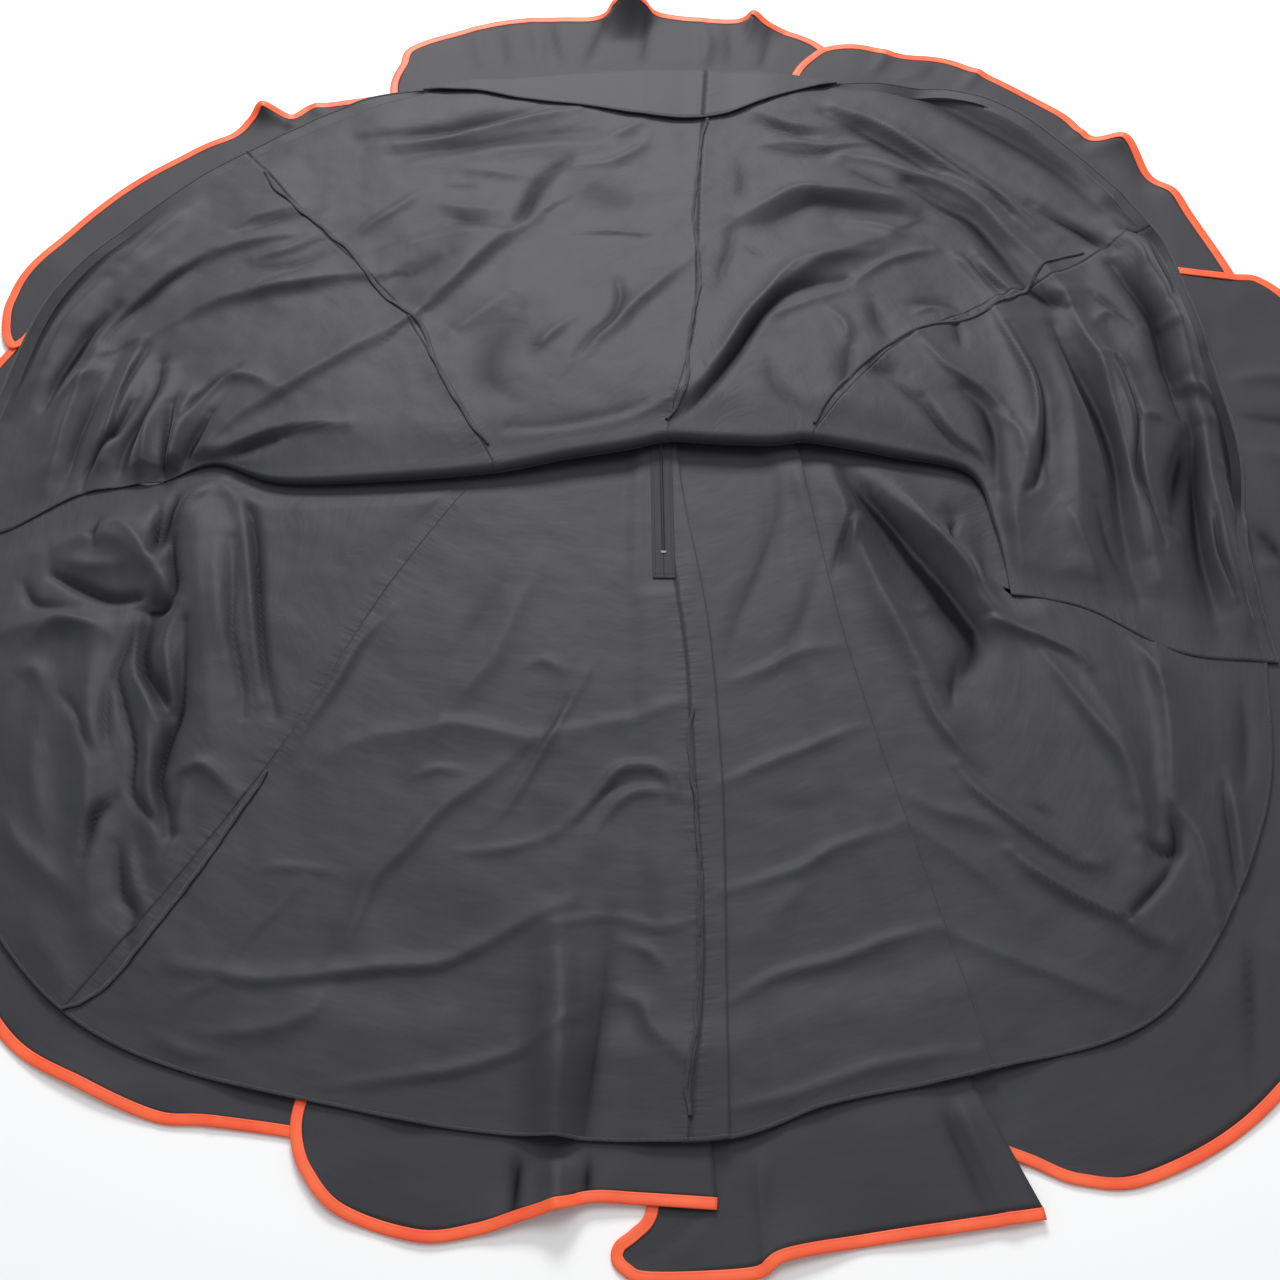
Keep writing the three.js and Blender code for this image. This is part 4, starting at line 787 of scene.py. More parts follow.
def back_columns():
    """Columns of the back half, left to right: where each lies on every row, and its layer."""
    columns = []

    def put(place, layer=0.0):
        columns.append((np.broadcast_to(np.asarray(place, float), BACK_V.shape), layer))

    def spread(start, end, steps, layers=(0, 0)):
        for k in range(1, steps + 1):
            share = k / steps
            put(lerp(start, end, share), lerp(layers[0], layers[1], smooth(share, 0, 1)))

    def turn(edge_at, depth, top, bottom):
        """Half a round turn from one layer to the one below, as far out as its edge."""
        for angle in np.linspace(0, np.pi, 7)[1:-1]:
            put(edge_at(-depth + depth * np.sin(angle)),
                lerp(bottom, top, (1 + np.cos(angle)) / 2))

    def edge(distance):
        return beside(CENTRE_BACK, PLEAT_EDGE + distance)

    def hidden(distance):
        return edge(-PLEAT_DEPTH - distance)

    def fold(distance):
        return beside(RIGHT_BACK, distance)

    def fold_hidden(distance):
        return fold(-SEAM_PLEAT_DEPTH - distance - 2)

    rise_from, rise_to = beside(CENTRE_BACK, RISE_FROM), beside(CENTRE_BACK, RISE_TO)
    put(0)
    spread(0, LEFT_BACK, 118)
    left_seam = len(columns) - 1
    spread(LEFT_BACK, LEFT_BACK + 1, 54)
    spread(LEFT_BACK + 1, rise_from, 36)
    spread(rise_from, rise_to, 9, (LOWER, UPPER))
    spread(rise_to, CENTRE_BACK, 8, (UPPER, UPPER))
    centre_seam = len(columns) - 1
    spread(CENTRE_BACK, edge(-FOLD_RADIUS), 5, (UPPER, UPPER))
    turn(edge, FOLD_RADIUS, UPPER, MIDDLE)
    spread(edge(-FOLD_RADIUS), hidden(-FOLD_RADIUS), 5, (MIDDLE, MIDDLE))
    turn(hidden, -FOLD_RADIUS, MIDDLE, LOWER)
    spread(hidden(-FOLD_RADIUS), edge(-6), 5)
    spread(edge(-6), edge(PLEAT_BEYOND), 5)
    spread(edge(PLEAT_BEYOND), CENTRE_BACK + 1, 20)
    spread(CENTRE_BACK + 1, fold(RISE_FROM), 10)
    spread(fold(RISE_FROM), fold(RISE_TO), 8, (LOWER, UPPER))
    spread(fold(RISE_TO), fold(-FOLD_RADIUS), 7, (UPPER, UPPER))
    turn(fold, FOLD_RADIUS, UPPER, MIDDLE)
    spread(fold(-FOLD_RADIUS), fold(-SEAM_PLEAT_DEPTH), 4, (MIDDLE, MIDDLE))
    right_seam = len(columns) - 1
    turn(fold_hidden, -2, MIDDLE, LOWER)
    spread(fold(-SEAM_PLEAT_DEPTH), fold(-7), 3)
    spread(fold(-7), fold(PLEAT_BEYOND), 5)
    spread(fold(PLEAT_BEYOND), RIGHT_BACK + 1, 32)
    spread(RIGHT_BACK + 1, LAST_BACK, 80)
    cuts = {"side_back_left": (0, left_seam), "back_left": (left_seam, centre_seam),
            "back_right": (centre_seam, right_seam), "side_back_right": (right_seam, len(columns) - 1)}
    return columns, cuts


def back_grid():
    columns, cuts = back_columns()
    places = np.stack([place for place, _ in columns], 1)  # (rows, columns)
    layers = np.array([layer for _, layer in columns])
    plan = np.stack([through(BACK_ROWS[r], places[r] / LAST_BACK) for r in range(len(BACK_V))], 1)
    x, y = plan[..., 0], plan[..., 1]
    open_to = smooth(out_from_roll(x, y), NEAR_ROLL, CLEAR_OF_ROLL)
    height, painted_shade = relief(x, y, BACK_CREASES)
    lines = places.T / LAST_BACK
    loft = graded(BACK_LOFT, lines) * smooth(np.hypot(x, y), 0, LOFT_FREE)
    loft = loft * smooth(BACK_V, *HEM_EASE)
    from_side = np.minimum(lines, 1 - lines) * LAST_BACK
    near_seam = lerp(SEAM_CALM, 1, smooth(from_side, 0, CALM_SPAN))
    beside_zip = 1 - smooth(np.abs(x - ZIP_MIDDLE), ZIP_FLAT, ZIP_FREE)
    by_zip = beside_zip * smooth(y, ZIP_FOOT, ZIP_FLAT_FROM)
    over = above(BACK_GAIN * height + uneven(x, y, BACK_SWELLS) + loft) * near_seam
    z = WALL / 2 + flounce_height(x, y) + open_to * over * (1 - by_zip)
    z = z + layers[:, None] * PLEAT_LAYER
    return np.concatenate([plan, z[..., None]], -1), painted_shade * open_to, cuts


# ---- front half ----
FRONT_SHARE = 4 / 5  # share of a front line's spans up to the roll
PAST_ROLL = 0.8  # a front line's last span runs on past the roll by this much of the one before


def front_curve(line):
    high, roll = np.array(line["high"]), np.array(line["roll"])
    hem = polar(line["at"], hem_reach(line["at"]))
    return [hem, line["low"], line["mid"], high, roll, roll + (roll - high) * PAST_ROLL]


FRONT_CURVES = [front_curve(line) for line in FRONT_LINES]
FRONT_PUFF = [line["puff"] for line in FRONT_LINES]
FRONT_FLAP = [line["flap"] for line in FRONT_LINES]
FRONT_V = np.linspace(0.012, 0.985, 152)
FRONT_GAIN = 1.15  # the front half's creases stand this much higher than listed
FRONT_SWELLS = table(SWELL, [[180, 1.6, (0, 0)], [80, 0.7, (700, 0)], [35, 0.25, (0, 500)]])
SIDE_LAP = 7  # how far the front reaches over the back along a side seam
SIDE_WAYS = ((0, 8), (-1, -9))  # the first and last columns, and a column inside each that gives its way
SEAM_LAP = 1.3  # rise of the front over the back along a side seam
FRONT_LOFT = [3, 7, 8, 7, 6, 5, 5, 5, 5, 5, 6, 6, 6, 6, 7, 3]  # how far the cloth stands off on each line
ROLL_LIP = 16
LIP_HEIGHT = 3.6
THIN_ROLL, FULL_ROLL = 0.3, 9  # bounds of the roll's radius
LAP_SPAN, PUFF_SPAN, FOLD_SPAN = 0.6, 0.7, 0.45  # spans beside a side seam that ease lap, puff and folds
PUFF_FROM = 0.35  # share of a line from the hem where the cloth begins to rise to the roll
FOLDS_END = 0.9  # and where its folds begin to flatten towards it
FRONT_HEM_EASE = (-0.03, 0.08)  # the loft grows from the hem inwards, between these shares of a line
FLAP_FLAT, FLAP_TURNED = -10, 12  # the hem lies flat at the one reach of its flap, and is turned at the other
FLAP_IN = 4  # how far the turned hem's fold stands in from the hem line
FRONT_PLACES = {
    "side_front_right": (0, RIGHT_FRONT, 120), "front_right": (RIGHT_FRONT, CENTRE_FRONT, 112),
    "front_left": (CENTRE_FRONT, LEFT_FRONT, 112), "side_front_left": (LEFT_FRONT, LAST_FRONT, 120),
}


def front_point(lines, v):
    """Plan points of the front half at places across it, all at one v."""
    row = np.stack([through(curve, v * FRONT_SHARE) for curve in FRONT_CURVES])
    plan = through(row, lines / LAST_FRONT)
    for end, inner in SIDE_WAYS:
        outward = plan[end] - plan[inner]
        near = 1 - smooth(np.abs(lines - lines[end]), 0, 0.35)
        plan = plan + SIDE_LAP * near[:, None] * outward / np.linalg.norm(outward)
    return plan


def front_height(lines, v, x, y):
    from_side = np.minimum(lines, LAST_FRONT - lines)
    lap = SEAM_LAP * (1 - smooth(from_side, 0, LAP_SPAN))
    rise = graded(FRONT_PUFF, lines / LAST_FRONT) * smooth(v, PUFF_FROM, 1)
    rise = rise * lerp(SEAM_CALM, 1, smooth(from_side, 0, PUFF_SPAN))
    height, painted_shade = relief(x, y, FRONT_CREASES)
    loft = graded(FRONT_LOFT, lines / LAST_FRONT) * smooth(v, *FRONT_HEM_EASE)
    shown = (1 - smooth(v, FOLDS_END, 1)) * lerp(SEAM_CALM, 1, smooth(from_side, 0, FOLD_SPAN))
    over = above(FRONT_GAIN * height + uneven(x, y, FRONT_SWELLS) + loft) * shown
    return WALL / 2 + flounce_height(x, y) + lap + rise + over, painted_shade * shown


def front_lines():
    """Where each column of the front half lies across it, and the columns of each gore."""
    lines = []
    cuts = {}
    for name, (first, last, steps) in FRONT_PLACES.items():
        start = len(lines) - 1 if lines else 0
        new = np.linspace(first, last, steps + 1)
        lines.extend(new if not lines else new[1:])
        cuts[name] = (start, len(lines) - 1)
    return np.array(lines), cuts


def hem_rows(lines):
    """The hem's turned flap and its fold, where the flap lies, and a flat hem elsewhere."""
    flap = graded(FRONT_FLAP, lines / LAST_FRONT)
    turned = smooth(flap, FLAP_FLAT, FLAP_TURNED)
    hem = front_point(lines, 0)
    inward = front_point(lines, 0.06) - hem
    inward /= np.linalg.norm(inward, axis=1)[:, None]
    hem_z, hem_painted_shade = front_height(lines, 0, hem[:, 0], hem[:, 1])
    rows = []
    for part in np.linspace(1, 0.08, 12):
        plan = hem + inward * (flap * part + FLAP_IN * turned)[:, None]
        rows.append(np.column_stack([plan, hem_z + 2 * HEM_FLAP_RADIUS * turned]))
    for angle in np.radians(np.linspace(20, 160, 7)):
        out = -HEM_FLAP_RADIUS * turned * np.sin(angle) + FLAP_IN * turned
        out += (1 - turned) * np.degrees(angle) * 0.06
        plan = hem + inward * out[:, None]
        rows.append(np.column_stack([plan, hem_z + HEM_FLAP_RADIUS * turned * (1 + np.cos(angle))]))
    return rows, [hem_painted_shade * (1 - turned)] * len(rows)


def roll_rows(lines):
    """The round turn at the roll, and the lip of cloth that runs back under it."""
    end = front_point(lines, 1)
    top, painted_shade = front_height(lines, 1, end[:, 0], end[:, 1])
    radius = np.clip((top - LIP_HEIGHT) / 2, THIN_ROLL, FULL_ROLL)
    outward = to_left(ways(end))
    rows = []
    for angle in np.radians(np.linspace(0, 180, 11)):
        plan = end + outward * (radius * np.sin(angle))[:, None]
        rows.append(np.column_stack([plan, top - radius + radius * np.cos(angle)]))
    for part in (0.35, 0.7, 1):
        plan = end - outward * (ROLL_LIP * part * smooth(radius, 0, 6))[:, None]
        rows.append(np.column_stack([plan, top - 2 * radius]))
    return rows, [painted_shade] * len(rows)


def front_grid():
    lines, cuts = front_lines()
    plan = np.stack([front_point(lines, v) for v in FRONT_V])
    z, painted_shade = front_height(lines, FRONT_V[:, None], plan[..., 0], plan[..., 1])
    rows, painted_shade_rows = hem_rows(lines)
    rows.extend(np.concatenate([plan, z[..., None]], -1))
    painted_shade_rows.extend(painted_shade)
    end_rows, end_painted_shade_rows = roll_rows(lines)
    return np.stack(rows + end_rows, 1), np.stack(painted_shade_rows + end_painted_shade_rows, 1), cuts


# ---- flounces and their bindings ----
END_ROWS = 4  # spans of the outline that a shaped end takes
END_REACH = 130  # how far along the edge an end's own form shows in the columns beside it
INTO_BINDING = 1.7  # how far the cloth of a flounce reaches into its binding
RIM_IN = BINDING_WIDE - INTO_BINDING
UNDER_HEM = FLOUNCE_ROOT + 18  # from the root to clear of the base hem
FLAT_SHARE = 0.75  # a flounce's flat part is this share of its depth, or reaches clear of the hem
RISE_BEGINS = 0.94  # share of the flat part at which the edge begins to rise
RISE_CURVE = 1.6
FLOUNCE_COLUMN = 6.0  # spacing of a flounce's columns
FLOUNCE_ROWS = 26
SIDE_POINTS = 9
FLOUNCE_SWELL = table(SWELL, [[110, 1.2, (0, 0)]])
SHOWN_FROM, SHOWN_FREE = 4, 34  # outside the hem the cloth is still flat at the one, and free at the other
EDGE_PROBES = 400  # points along an outline from which even steps are read
BINDING_PROBES = 900
BINDING_STEP = 3.5


def root_point(at):
    return polar(at, hem_reach(at) - FLOUNCE_ROOT)


def direction_of(plan, first):
    at = np.degrees(np.arctan2(plan[..., 1], plan[..., 0]))
    return at + 360 * np.ceil((first - 90 - at) / 360)


def lap_height(flounce, at):
    height = np.zeros(np.shape(at))
    if "lap_from" in flounce:
        height = np.maximum(height, smooth(at, flounce["lap_from"] - 5, flounce["lap_from"]))
    if "lap_to" in flounce:
        height = np.maximum(height, 1 - smooth(at, flounce["lap_to"], flounce["lap_to"] + 5))
    return LAP_LIFT * height


def outline_of(flounce, shares):
    """Edge points, inward normals and lifts at shares of a flounce's outline."""
    rows = np.array([[*polar(at, reach), lift] for at, reach, lift in flounce["outline"]])
    line = through(rows, shares)
    ahead = through(rows, np.minimum(shares + 1e-4, 1)) - through(rows, np.maximum(shares - 1e-4, 0))
    way = ahead[:, :2] / np.linalg.norm(ahead[:, :2], axis=1)[:, None]
    return line[:, :2], to_left(way), np.maximum(line[:, 2], 0)


def side_bend(side, share):
    """How far a side, from the root to the outer edge, bends from a straight line."""
    straight = lerp(side[0], side[-1], np.atleast_1d(share)[:, None])
    return through(side, share) - straight


def even_shares(flounce, start, end, step, probes):
    """Shares of an outline at an even step between two of its shares."""
    probe = outline_of(flounce, np.linspace(start, end, probes))[0]
    return start + (end - start) * evenly(probe, step) / (probes - 1)


def flounce_softness(plan):
    """How far a flounce's cloth stands off the floor at plan points, and the painted shade of its troughs."""
    x, y = plan[..., 0], plan[..., 1]
    height, painted_shade = relief(x, y, FLOUNCE_CREASES)
    return above(height + uneven(x, y, FLOUNCE_SWELL)), painted_shade


def flounce_grid(flounce):
    last = len(flounce["outline"]) - 1
    start = END_ROWS / last if flounce.get("shaped_start") else 0.0
    end = 1 - END_ROWS / last if flounce.get("shaped_end") else 1.0
    edge, inward, lift = outline_of(flounce, even_shares(flounce, start, end, FLOUNCE_COLUMN, EDGE_PROBES))
    rim = edge + inward * RIM_IN
    first = flounce["outline"][0][0]
    finish = flounce["outline"][-1][0]
    at = direction_of(edge, first)

    def side(from_share, to_share):
        points, inwards, _ = outline_of(flounce, np.linspace(from_share, to_share, SIDE_POINTS))
        return points + inwards * RIM_IN

    start_side = side(0, start) if start else np.stack([root_point(first), rim[0]])
    end_side = side(1, end) if end < 1 else np.stack([root_point(finish), rim[-1]])
    near_start = 1 - smooth(np.linalg.norm(rim - rim[0], axis=1), 0, END_REACH)
    near_end = 1 - smooth(np.linalg.norm(rim - rim[-1], axis=1), 0, END_REACH)
    root = root_point(lerp(first, finish, np.clip((at - at[0]) / (at[-1] - at[0]), 0, 1)))
    root = root + near_start[:, None] * (start_side[0] - root_point(first))
    root = root + near_end[:, None] * (end_side[0] - root_point(finish))
    rows = np.linspace(0, 1, FLOUNCE_ROWS)
    plan = lerp(root[:, None], rim[:, None], rows[None, :, None])
    plan = plan + near_start[:, None, None] * side_bend(start_side, rows)[None]
    plan = plan + near_end[:, None, None] * side_bend(end_side, rows)[None]
    whole = np.linalg.norm(rim - root, axis=1)[:, None]
    begin = np.maximum(UNDER_HEM, FLAT_SHARE * whole) * RISE_BEGINS
    share = np.clip((rows * whole - begin) / (whole - begin), 0, 1)
    rise = lift[:, None] * share ** RISE_CURVE
    soft, painted_shade = flounce_softness(plan)
    outside = smooth(rows * whole, FLOUNCE_ROOT + SHOWN_FROM, FLOUNCE_ROOT + SHOWN_FREE)
    z = WALL / 2 + lap_height(flounce, direction_of(plan, first)) + rise + soft * outside
    return np.concatenate([plan, z[..., None]], -1)[:, ::-1], (painted_shade * outside)[:, ::-1]


def binding_path(flounce):
    """Places along a binding's outer edge: plan point, inward normal and height of its middle."""
    edge, inward, lift = outline_of(flounce, even_shares(flounce, 0, 1, BINDING_STEP, BINDING_PROBES))
    middle = edge + inward * BINDING_WIDE / 2
    first = flounce["outline"][0][0]
    past_hem = np.hypot(middle[:, 0], middle[:, 1]) - hem_reach(direction_of(middle, first))
    soft, _ = flounce_softness(middle)
    soft = soft * smooth(past_hem, SHOWN_FROM, SHOWN_FREE)
    z = BINDING_THICK / 2 + lap_height(flounce, direction_of(middle, first)) + lift + soft
    return edge, inward, z


# Half a bias strip folded over the edge: distance in from the edge, and height from its middle.
BINDING_SECTION = np.array([
    [0.2, 0.55], [1.0, 1.0], [3.5, 1.12], [7.6, 1.1], [8.5, 0.86], [9.4, 1.02], [10.6, 0.98], [11.0, 0.62],
])


def binding_piece(name, flounce):
    edge, inward, z = binding_path(flounce)
    upper = BINDING_SECTION
    lower = BINDING_SECTION[::-1] * [1, -1]
    section = np.concatenate([upper, lower])
    path = np.column_stack([edge, z])
    way = ways(path)
    across = np.column_stack([inward, np.zeros(len(z))])
    up = np.cross(across, way)
    up *= np.sign(up[:, 2:3])
    sections = path[:, None] + across[:, None] * section[None, :, :1] + up[:, None] * section[None, :, 1:]
    sections[..., 2] = np.maximum(sections[..., 2], 0.05)
    return tubes_piece(name, [sections])


# ---- seam allowances and oversewn edges ----
SERGE_PITCH = 2.4  # from one oversewn thread to the next
SERGE_ACROSS = [[-0.3, 0.0], [0.3, 0.35], [1.5, 0.5], [2.9, 0.4], [3.6, 0.1]]  # in from the edge, and height
SERGE_THICK = 0.4
SERGE_CLEAR = 0.1
BETWEEN_CRESTS = 0.45  # height between two threads, as a share of a thread's
REACH = 5  # how far around a point its ground is looked for
SEAM_PROBES = 200
ALLOWANCE_STEP = 3.0
ALLOWANCE_ACROSS = (0, 0.3, 0.6, 0.85, 1.0)
EDGE_WAVES = 4
EDGE_WAVE_SHORT, EDGE_WAVE_LONG = 26, 95
EDGE_WAVES_TO_ONE = 2.4
NARROW_END = 0.15  # share of its width that an allowance keeps at its two ends
WIDTH_VARIES, STAND_VARIES = 0.13, 0.55  # by these shares, along an allowance


def ground_under(grids):
    """A lookup of the highest cloth near plan points, among one or more grids."""
    points = np.concatenate([grid.reshape(-1, 3) for grid in grids])
    tree = KDTree(len(points))
    for index, (x, y, _) in enumerate(points):
        tree.insert((x, y, 0), index)
    tree.balance()

    def height_at(x, y):
        found = [points[index][2] for _, index, _ in tree.find_range((x, y, 0), REACH)]
        return max(found) if found else points[tree.find((x, y, 0))[1]][2]

    return height_at


def smoothed(values, width):
    """A running mean along the first axis that keeps both ends."""
    padded = np.concatenate([np.repeat(values[:1], width, 0), values, np.repeat(values[-1:], width, 0)])
    kernel = np.ones(2 * width + 1) / (2 * width + 1)
    return np.convolve(padded, kernel, "valid")


def stepped(path, step):
    """A plan path at an even step."""
    path = np.asarray(path, float)
    return at_shares(path, evenly(path, step))


def allowance_piece(name, seam, side, width, lift, height_at, seed):
    """A seam's spare cloth: a narrow strip from the seam to its wavy free edge, standing a little off."""
    path = stepped(through(seam, np.linspace(0, 1, SEAM_PROBES)), ALLOWANCE_STEP)
    way = ways(path)
    out = to_left(way) * side
    draw = np.random.default_rng(seed)
    run = np.arange(len(path)) * ALLOWANCE_STEP
    wave = sum(
        np.sin(run * FULL_TURN / draw.uniform(EDGE_WAVE_SHORT, EDGE_WAVE_LONG) + draw.uniform(0, 6))
        for _ in range(EDGE_WAVES)
    ) / EDGE_WAVES_TO_ONE
    share = np.linspace(0, 1, len(path))
    full = lerp(NARROW_END, 1, smooth(share, 0, 0.07) * (1 - smooth(share, 0.94, 1)))
    wide = width * (1 + WIDTH_VARIES * wave) * full
    stand = lift * (1 + STAND_VARIES * np.roll(wave, 7))
    base = smoothed(np.array([height_at(x, y) for x, y in path]), 2)
    rim = path + out * wide[:, None]
    rim_base = smoothed(np.array([height_at(x, y) for x, y in rim]), 2)
    columns = []
    for share in ALLOWANCE_ACROSS:
        z = lerp(base, rim_base, share) + CLOTH * share ** 0.5 + np.maximum(stand, 0.2) * share ** 0.8
        columns.append(np.column_stack([path + out * (wide * share)[:, None], z]))
    grid = np.stack(columns)
    if side > 0:
        grid = grid[::-1]
    return cloth_piece(name, grid, np.zeros(grid.shape[:2]), seams=(False, False)), columns[-1], -out


def serge_piece(name, edge, inward):
    """Close oversewn threads over a raw edge: a strip whose crests stand across it."""
    run = run_along(edge)
    wanted = np.arange(0, run[-1], SERGE_PITCH / 2)
    path = np.stack([np.interp(wanted, run, edge[:, k]) for k in range(3)], 1)
    inward = np.stack([np.interp(wanted, run, inward[:, k]) for k in range(2)], 1)
    inward /= np.linalg.norm(inward, axis=1)[:, None] + 1e-9
    crest = np.where(np.arange(len(path)) % 2, 1.0, BETWEEN_CRESTS)
    across = []
    for into, high in SERGE_ACROSS:
        z = path[:, 2] + CLOTH / 2 + SERGE_CLEAR + high * lerp(1, crest, float(high > 0.5))
        across.append(np.column_stack([path[:, :2] + inward * into, z]))
    grid = np.stack(across)
    turn = inward[0, 0] * (path[1, 1] - path[0, 1]) - inward[0, 1] * (path[1, 0] - path[0, 0])
    if turn < 0:
        grid = grid[::-1]
    piece = mesh_piece(name, grid.reshape(-1, 3), grid_faces(*grid.shape[:2]))
    shell = piece.modifiers.new("wall", "SOLIDIFY")
    shell.thickness = SERGE_THICK * MM
    apply_modifiers(piece)
    return piece


# The free edge lies to the left of the way the points run where side is 1, and to the right where -1.
SEAM_LINES = {
    "left_back": {"gore": "back_left", "side": 1, "width": 5.5, "lift": 1.2, "along": [
        [-386, -390], [-404, -420], [-428, -474], [-448, -516], [-470, -556], [-504, -618], [-544, -652]]},
    "centre_back": {"gore": "back_left", "side": -1, "width": 7, "lift": 0.9, "along": [
        [57, -310], [59, -360], [66, -420], [70, -480], [70, -540], [70, -600], [67, -660], [61, -700],
        [57, -744]]},
    "front_left": {"gore": "front_left", "side": -1, "width": 6, "lift": 0.7, "along": [
        [-532, 530], [-510, 500], [-490, 480], [-430, 418], [-400, 390], [-370, 345], [-340, 300],
        [-310, 268], [-293, 252], [-278, 228], [-262, 180], [-238, 130], [-210, 78], [-186, 38]]},
    "centre_front": {"gore": "front_left", "side": -1, "width": 4, "lift": 0.3, "along": [
        [70, 640], [65, 600], [58, 500], [55, 450], [61, 380], [64, 310], [56, 250], [50, 190], [50, 130],
        [40, 96], [22, 74]]},
    "front_right": {"gore": "front_right", "side": 1, "width": 5, "lift": 0.4, "along": [
        [197, 70], [216, 100], [241, 137], [268, 171], [297, 200], [328, 224], [352, 237], [396, 251],
        [433, 276], [470, 300], [505, 352], [556, 378]]},
}


# ---- the zip ----
ZIP_LINE = [[24, -140], [21, -60], [18, 20], [15, 116]]
ZIP_LONG = 258
ZIP_TAPE = 12.5
TAPE_THICK = 0.8
TAPE_POINTS = 130
TAPE_ACROSS = [  # share of the tape's width, and how far its weave is raised there
    [0, 0], [0.06, 0.125], [0.14, 0.125], [0.2, 0.05], [0.5, 0], [0.8, 0], [0.86, 0.05], [0.94, 0.06], [1, 0],
]
TAPE_WALL = 0.5
COIL_WIDE = 3.6
COIL_HIGH = 1.6
COIL_FOOT = 0.16  # share of the zip's line where the coil begins
BESIDE_SLIDER = 0.002  # such a share is left between the coil and the slider
SLIDER_LONG = 10
SLIDER_WIDE = 8
SLIDER_END = 0.995
SLIDER_FORM = [  # share of its length, share of its width, and height in millimetres
    [0, 0.55, 0.7], [0.08, 0.72, 1.3], [0.3, 0.8, 1.6], [0.5, 0.86, 2.0], [0.75, 1.0, 1.7],
    [0.93, 0.96, 1.4], [1, 0.7, 0.8],
]
SLIDER_SQUARE = 0.6  # 1 is a round section, and less a squarer one
TOOTH_PITCH = 1.5
TOOTH_LEAN = 0.35
TOOTH_HALF = 0.55
TOOTH_FORM = [[-1, 0.45], [-0.5, 1], [0.5, 1], [1, 0.45]]  # place across, and share of its thickness
THREAD_FORM = [[0, 0.35], [0.25, 1], [0.75, 1], [1, 0.35]]  # share of its length and of its thickness
THREAD_RADIUS = 0.35
TACK_RADIUS = 0.5
TACK_AT = 0.15  # share of the zip's line
TACK_HALF = 3.4
STITCH_ROWS = (-9.5, 9.5)
STITCH_SPACES = 78  # stitches that would fill a tape's length
STITCHES = 76
FOOT_STITCHES = 7  # in the row across the tapes' cut end
FOOT_PITCH = 3.2
FOOT_FROM = [13.2, -134]
PLEAT_TOP = WALL + 2 * PLEAT_LAYER  # top of the back half beside the centre back pleat
TAPE_LOW = PLEAT_TOP + CLEAR
COIL_LOW = TAPE_LOW + TAPE_THICK + CLEAR


def zip_point(share):
    return through(ZIP_LINE, share)


def tape_piece(name, inner, outer):
    """A flat woven strip with slightly raised selvedges."""
    path = zip_point(np.linspace(0, 1, TAPE_POINTS))
    columns = []
    for share, raised in TAPE_ACROSS:
        z = np.full(len(path), TAPE_LOW + TAPE_THICK / 2 + raised)
        columns.append(np.column_stack([path[:, 0] + lerp(inner, outer, share), path[:, 1], z]))
    grid = np.stack(columns)
    if outer > inner:
        grid = grid[::-1]
    return cloth_piece(name, grid, np.zeros(grid.shape[:2]), TAPE_WALL, (False, False))


def coil_piece():
    """The coil's turns: short rounded bars that lean to alternate sides, a few faces each."""
    last = 1 - SLIDER_LONG / ZIP_LONG - BESIDE_SLIDER
    count = int((last - COIL_FOOT) * ZIP_LONG / TOOTH_PITCH)
    half, rise = COIL_WIDE / 2, COIL_HIGH / 2
    bars = []
    for k in range(count):
        x, y = zip_point(lerp(COIL_FOOT, last, (k + 0.5) / count))
        lean = TOOTH_LEAN if k % 2 else -TOOTH_LEAN
        bars.append([
            [[x + across * half, y + TOOTH_HALF * full * np.cos(angle) + lean * across,
              COIL_LOW + rise + rise * full * np.sin(angle)]
             for angle in np.radians(np.arange(0, 360, 60))]
            for across, full in TOOTH_FORM])
    return tubes_piece("zip_coil_teeth", bars)


def squared(value):
    """A sine or cosine of a squarer circle."""
    return np.sign(value) * abs(value) ** SLIDER_SQUARE


def slider_piece():
    """The slider's body: a low shield, wider towards its closed end, with a raised bridge."""
    angles = np.radians(np.arange(0, 360, 22.5))
    sections = []
    for part, wide, high in SLIDER_FORM:
        x, y = zip_point(lerp(1 - SLIDER_LONG / ZIP_LONG, SLIDER_END, part))
        across = x + wide * SLIDER_WIDE / 2 * squared(np.cos(angles))
        z = COIL_LOW + high / 2 + high / 2 * squared(np.sin(angles))
        sections.append(np.column_stack([across, np.full(len(angles), y), z]))
    return tubes_piece("zip_slider_body", [sections])


def stitch_piece(name, starts, ends, radius=THREAD_RADIUS):
    """Short threads lying between pairs of points, four faces round each."""
    bars = []
    for start, end in zip(starts, ends):
        way = (end - start) / np.linalg.norm(end - start)
        side = np.cross(way, [0, 0, 1.0])
        side /= np.linalg.norm(side)
        up = np.cross(side, way)
        rim = [side * np.cos(angle) + up * np.sin(angle) for angle in np.radians([0, 90, 180, 270])]
        bars.append([
            [lerp(start, end, share) + radius * full * out for out in rim] for share, full in THREAD_FORM])
    return tubes_piece(name, bars)


def tape_stitches():
    """Two rows that hold each tape, and the row across the tapes' cut end."""
    starts, ends = [], []
    z = TAPE_LOW + TAPE_THICK + 0.1
    for across in STITCH_ROWS:
        for k in range(STITCHES):
            for points, begin in ((starts, 0.2), (ends, 0.8)):
                x, y = zip_point((k + begin) / STITCH_SPACES)
                points.append(np.array([x + across, y, z]))
    for k in range(FOOT_STITCHES):
        for points, begin in ((starts, 0), (ends, 2.0)):
            points.append(np.array([FOOT_FROM[0] + begin + FOOT_PITCH * k, FOOT_FROM[1], z]))
    return stitch_piece("zip_stitches", starts, ends)


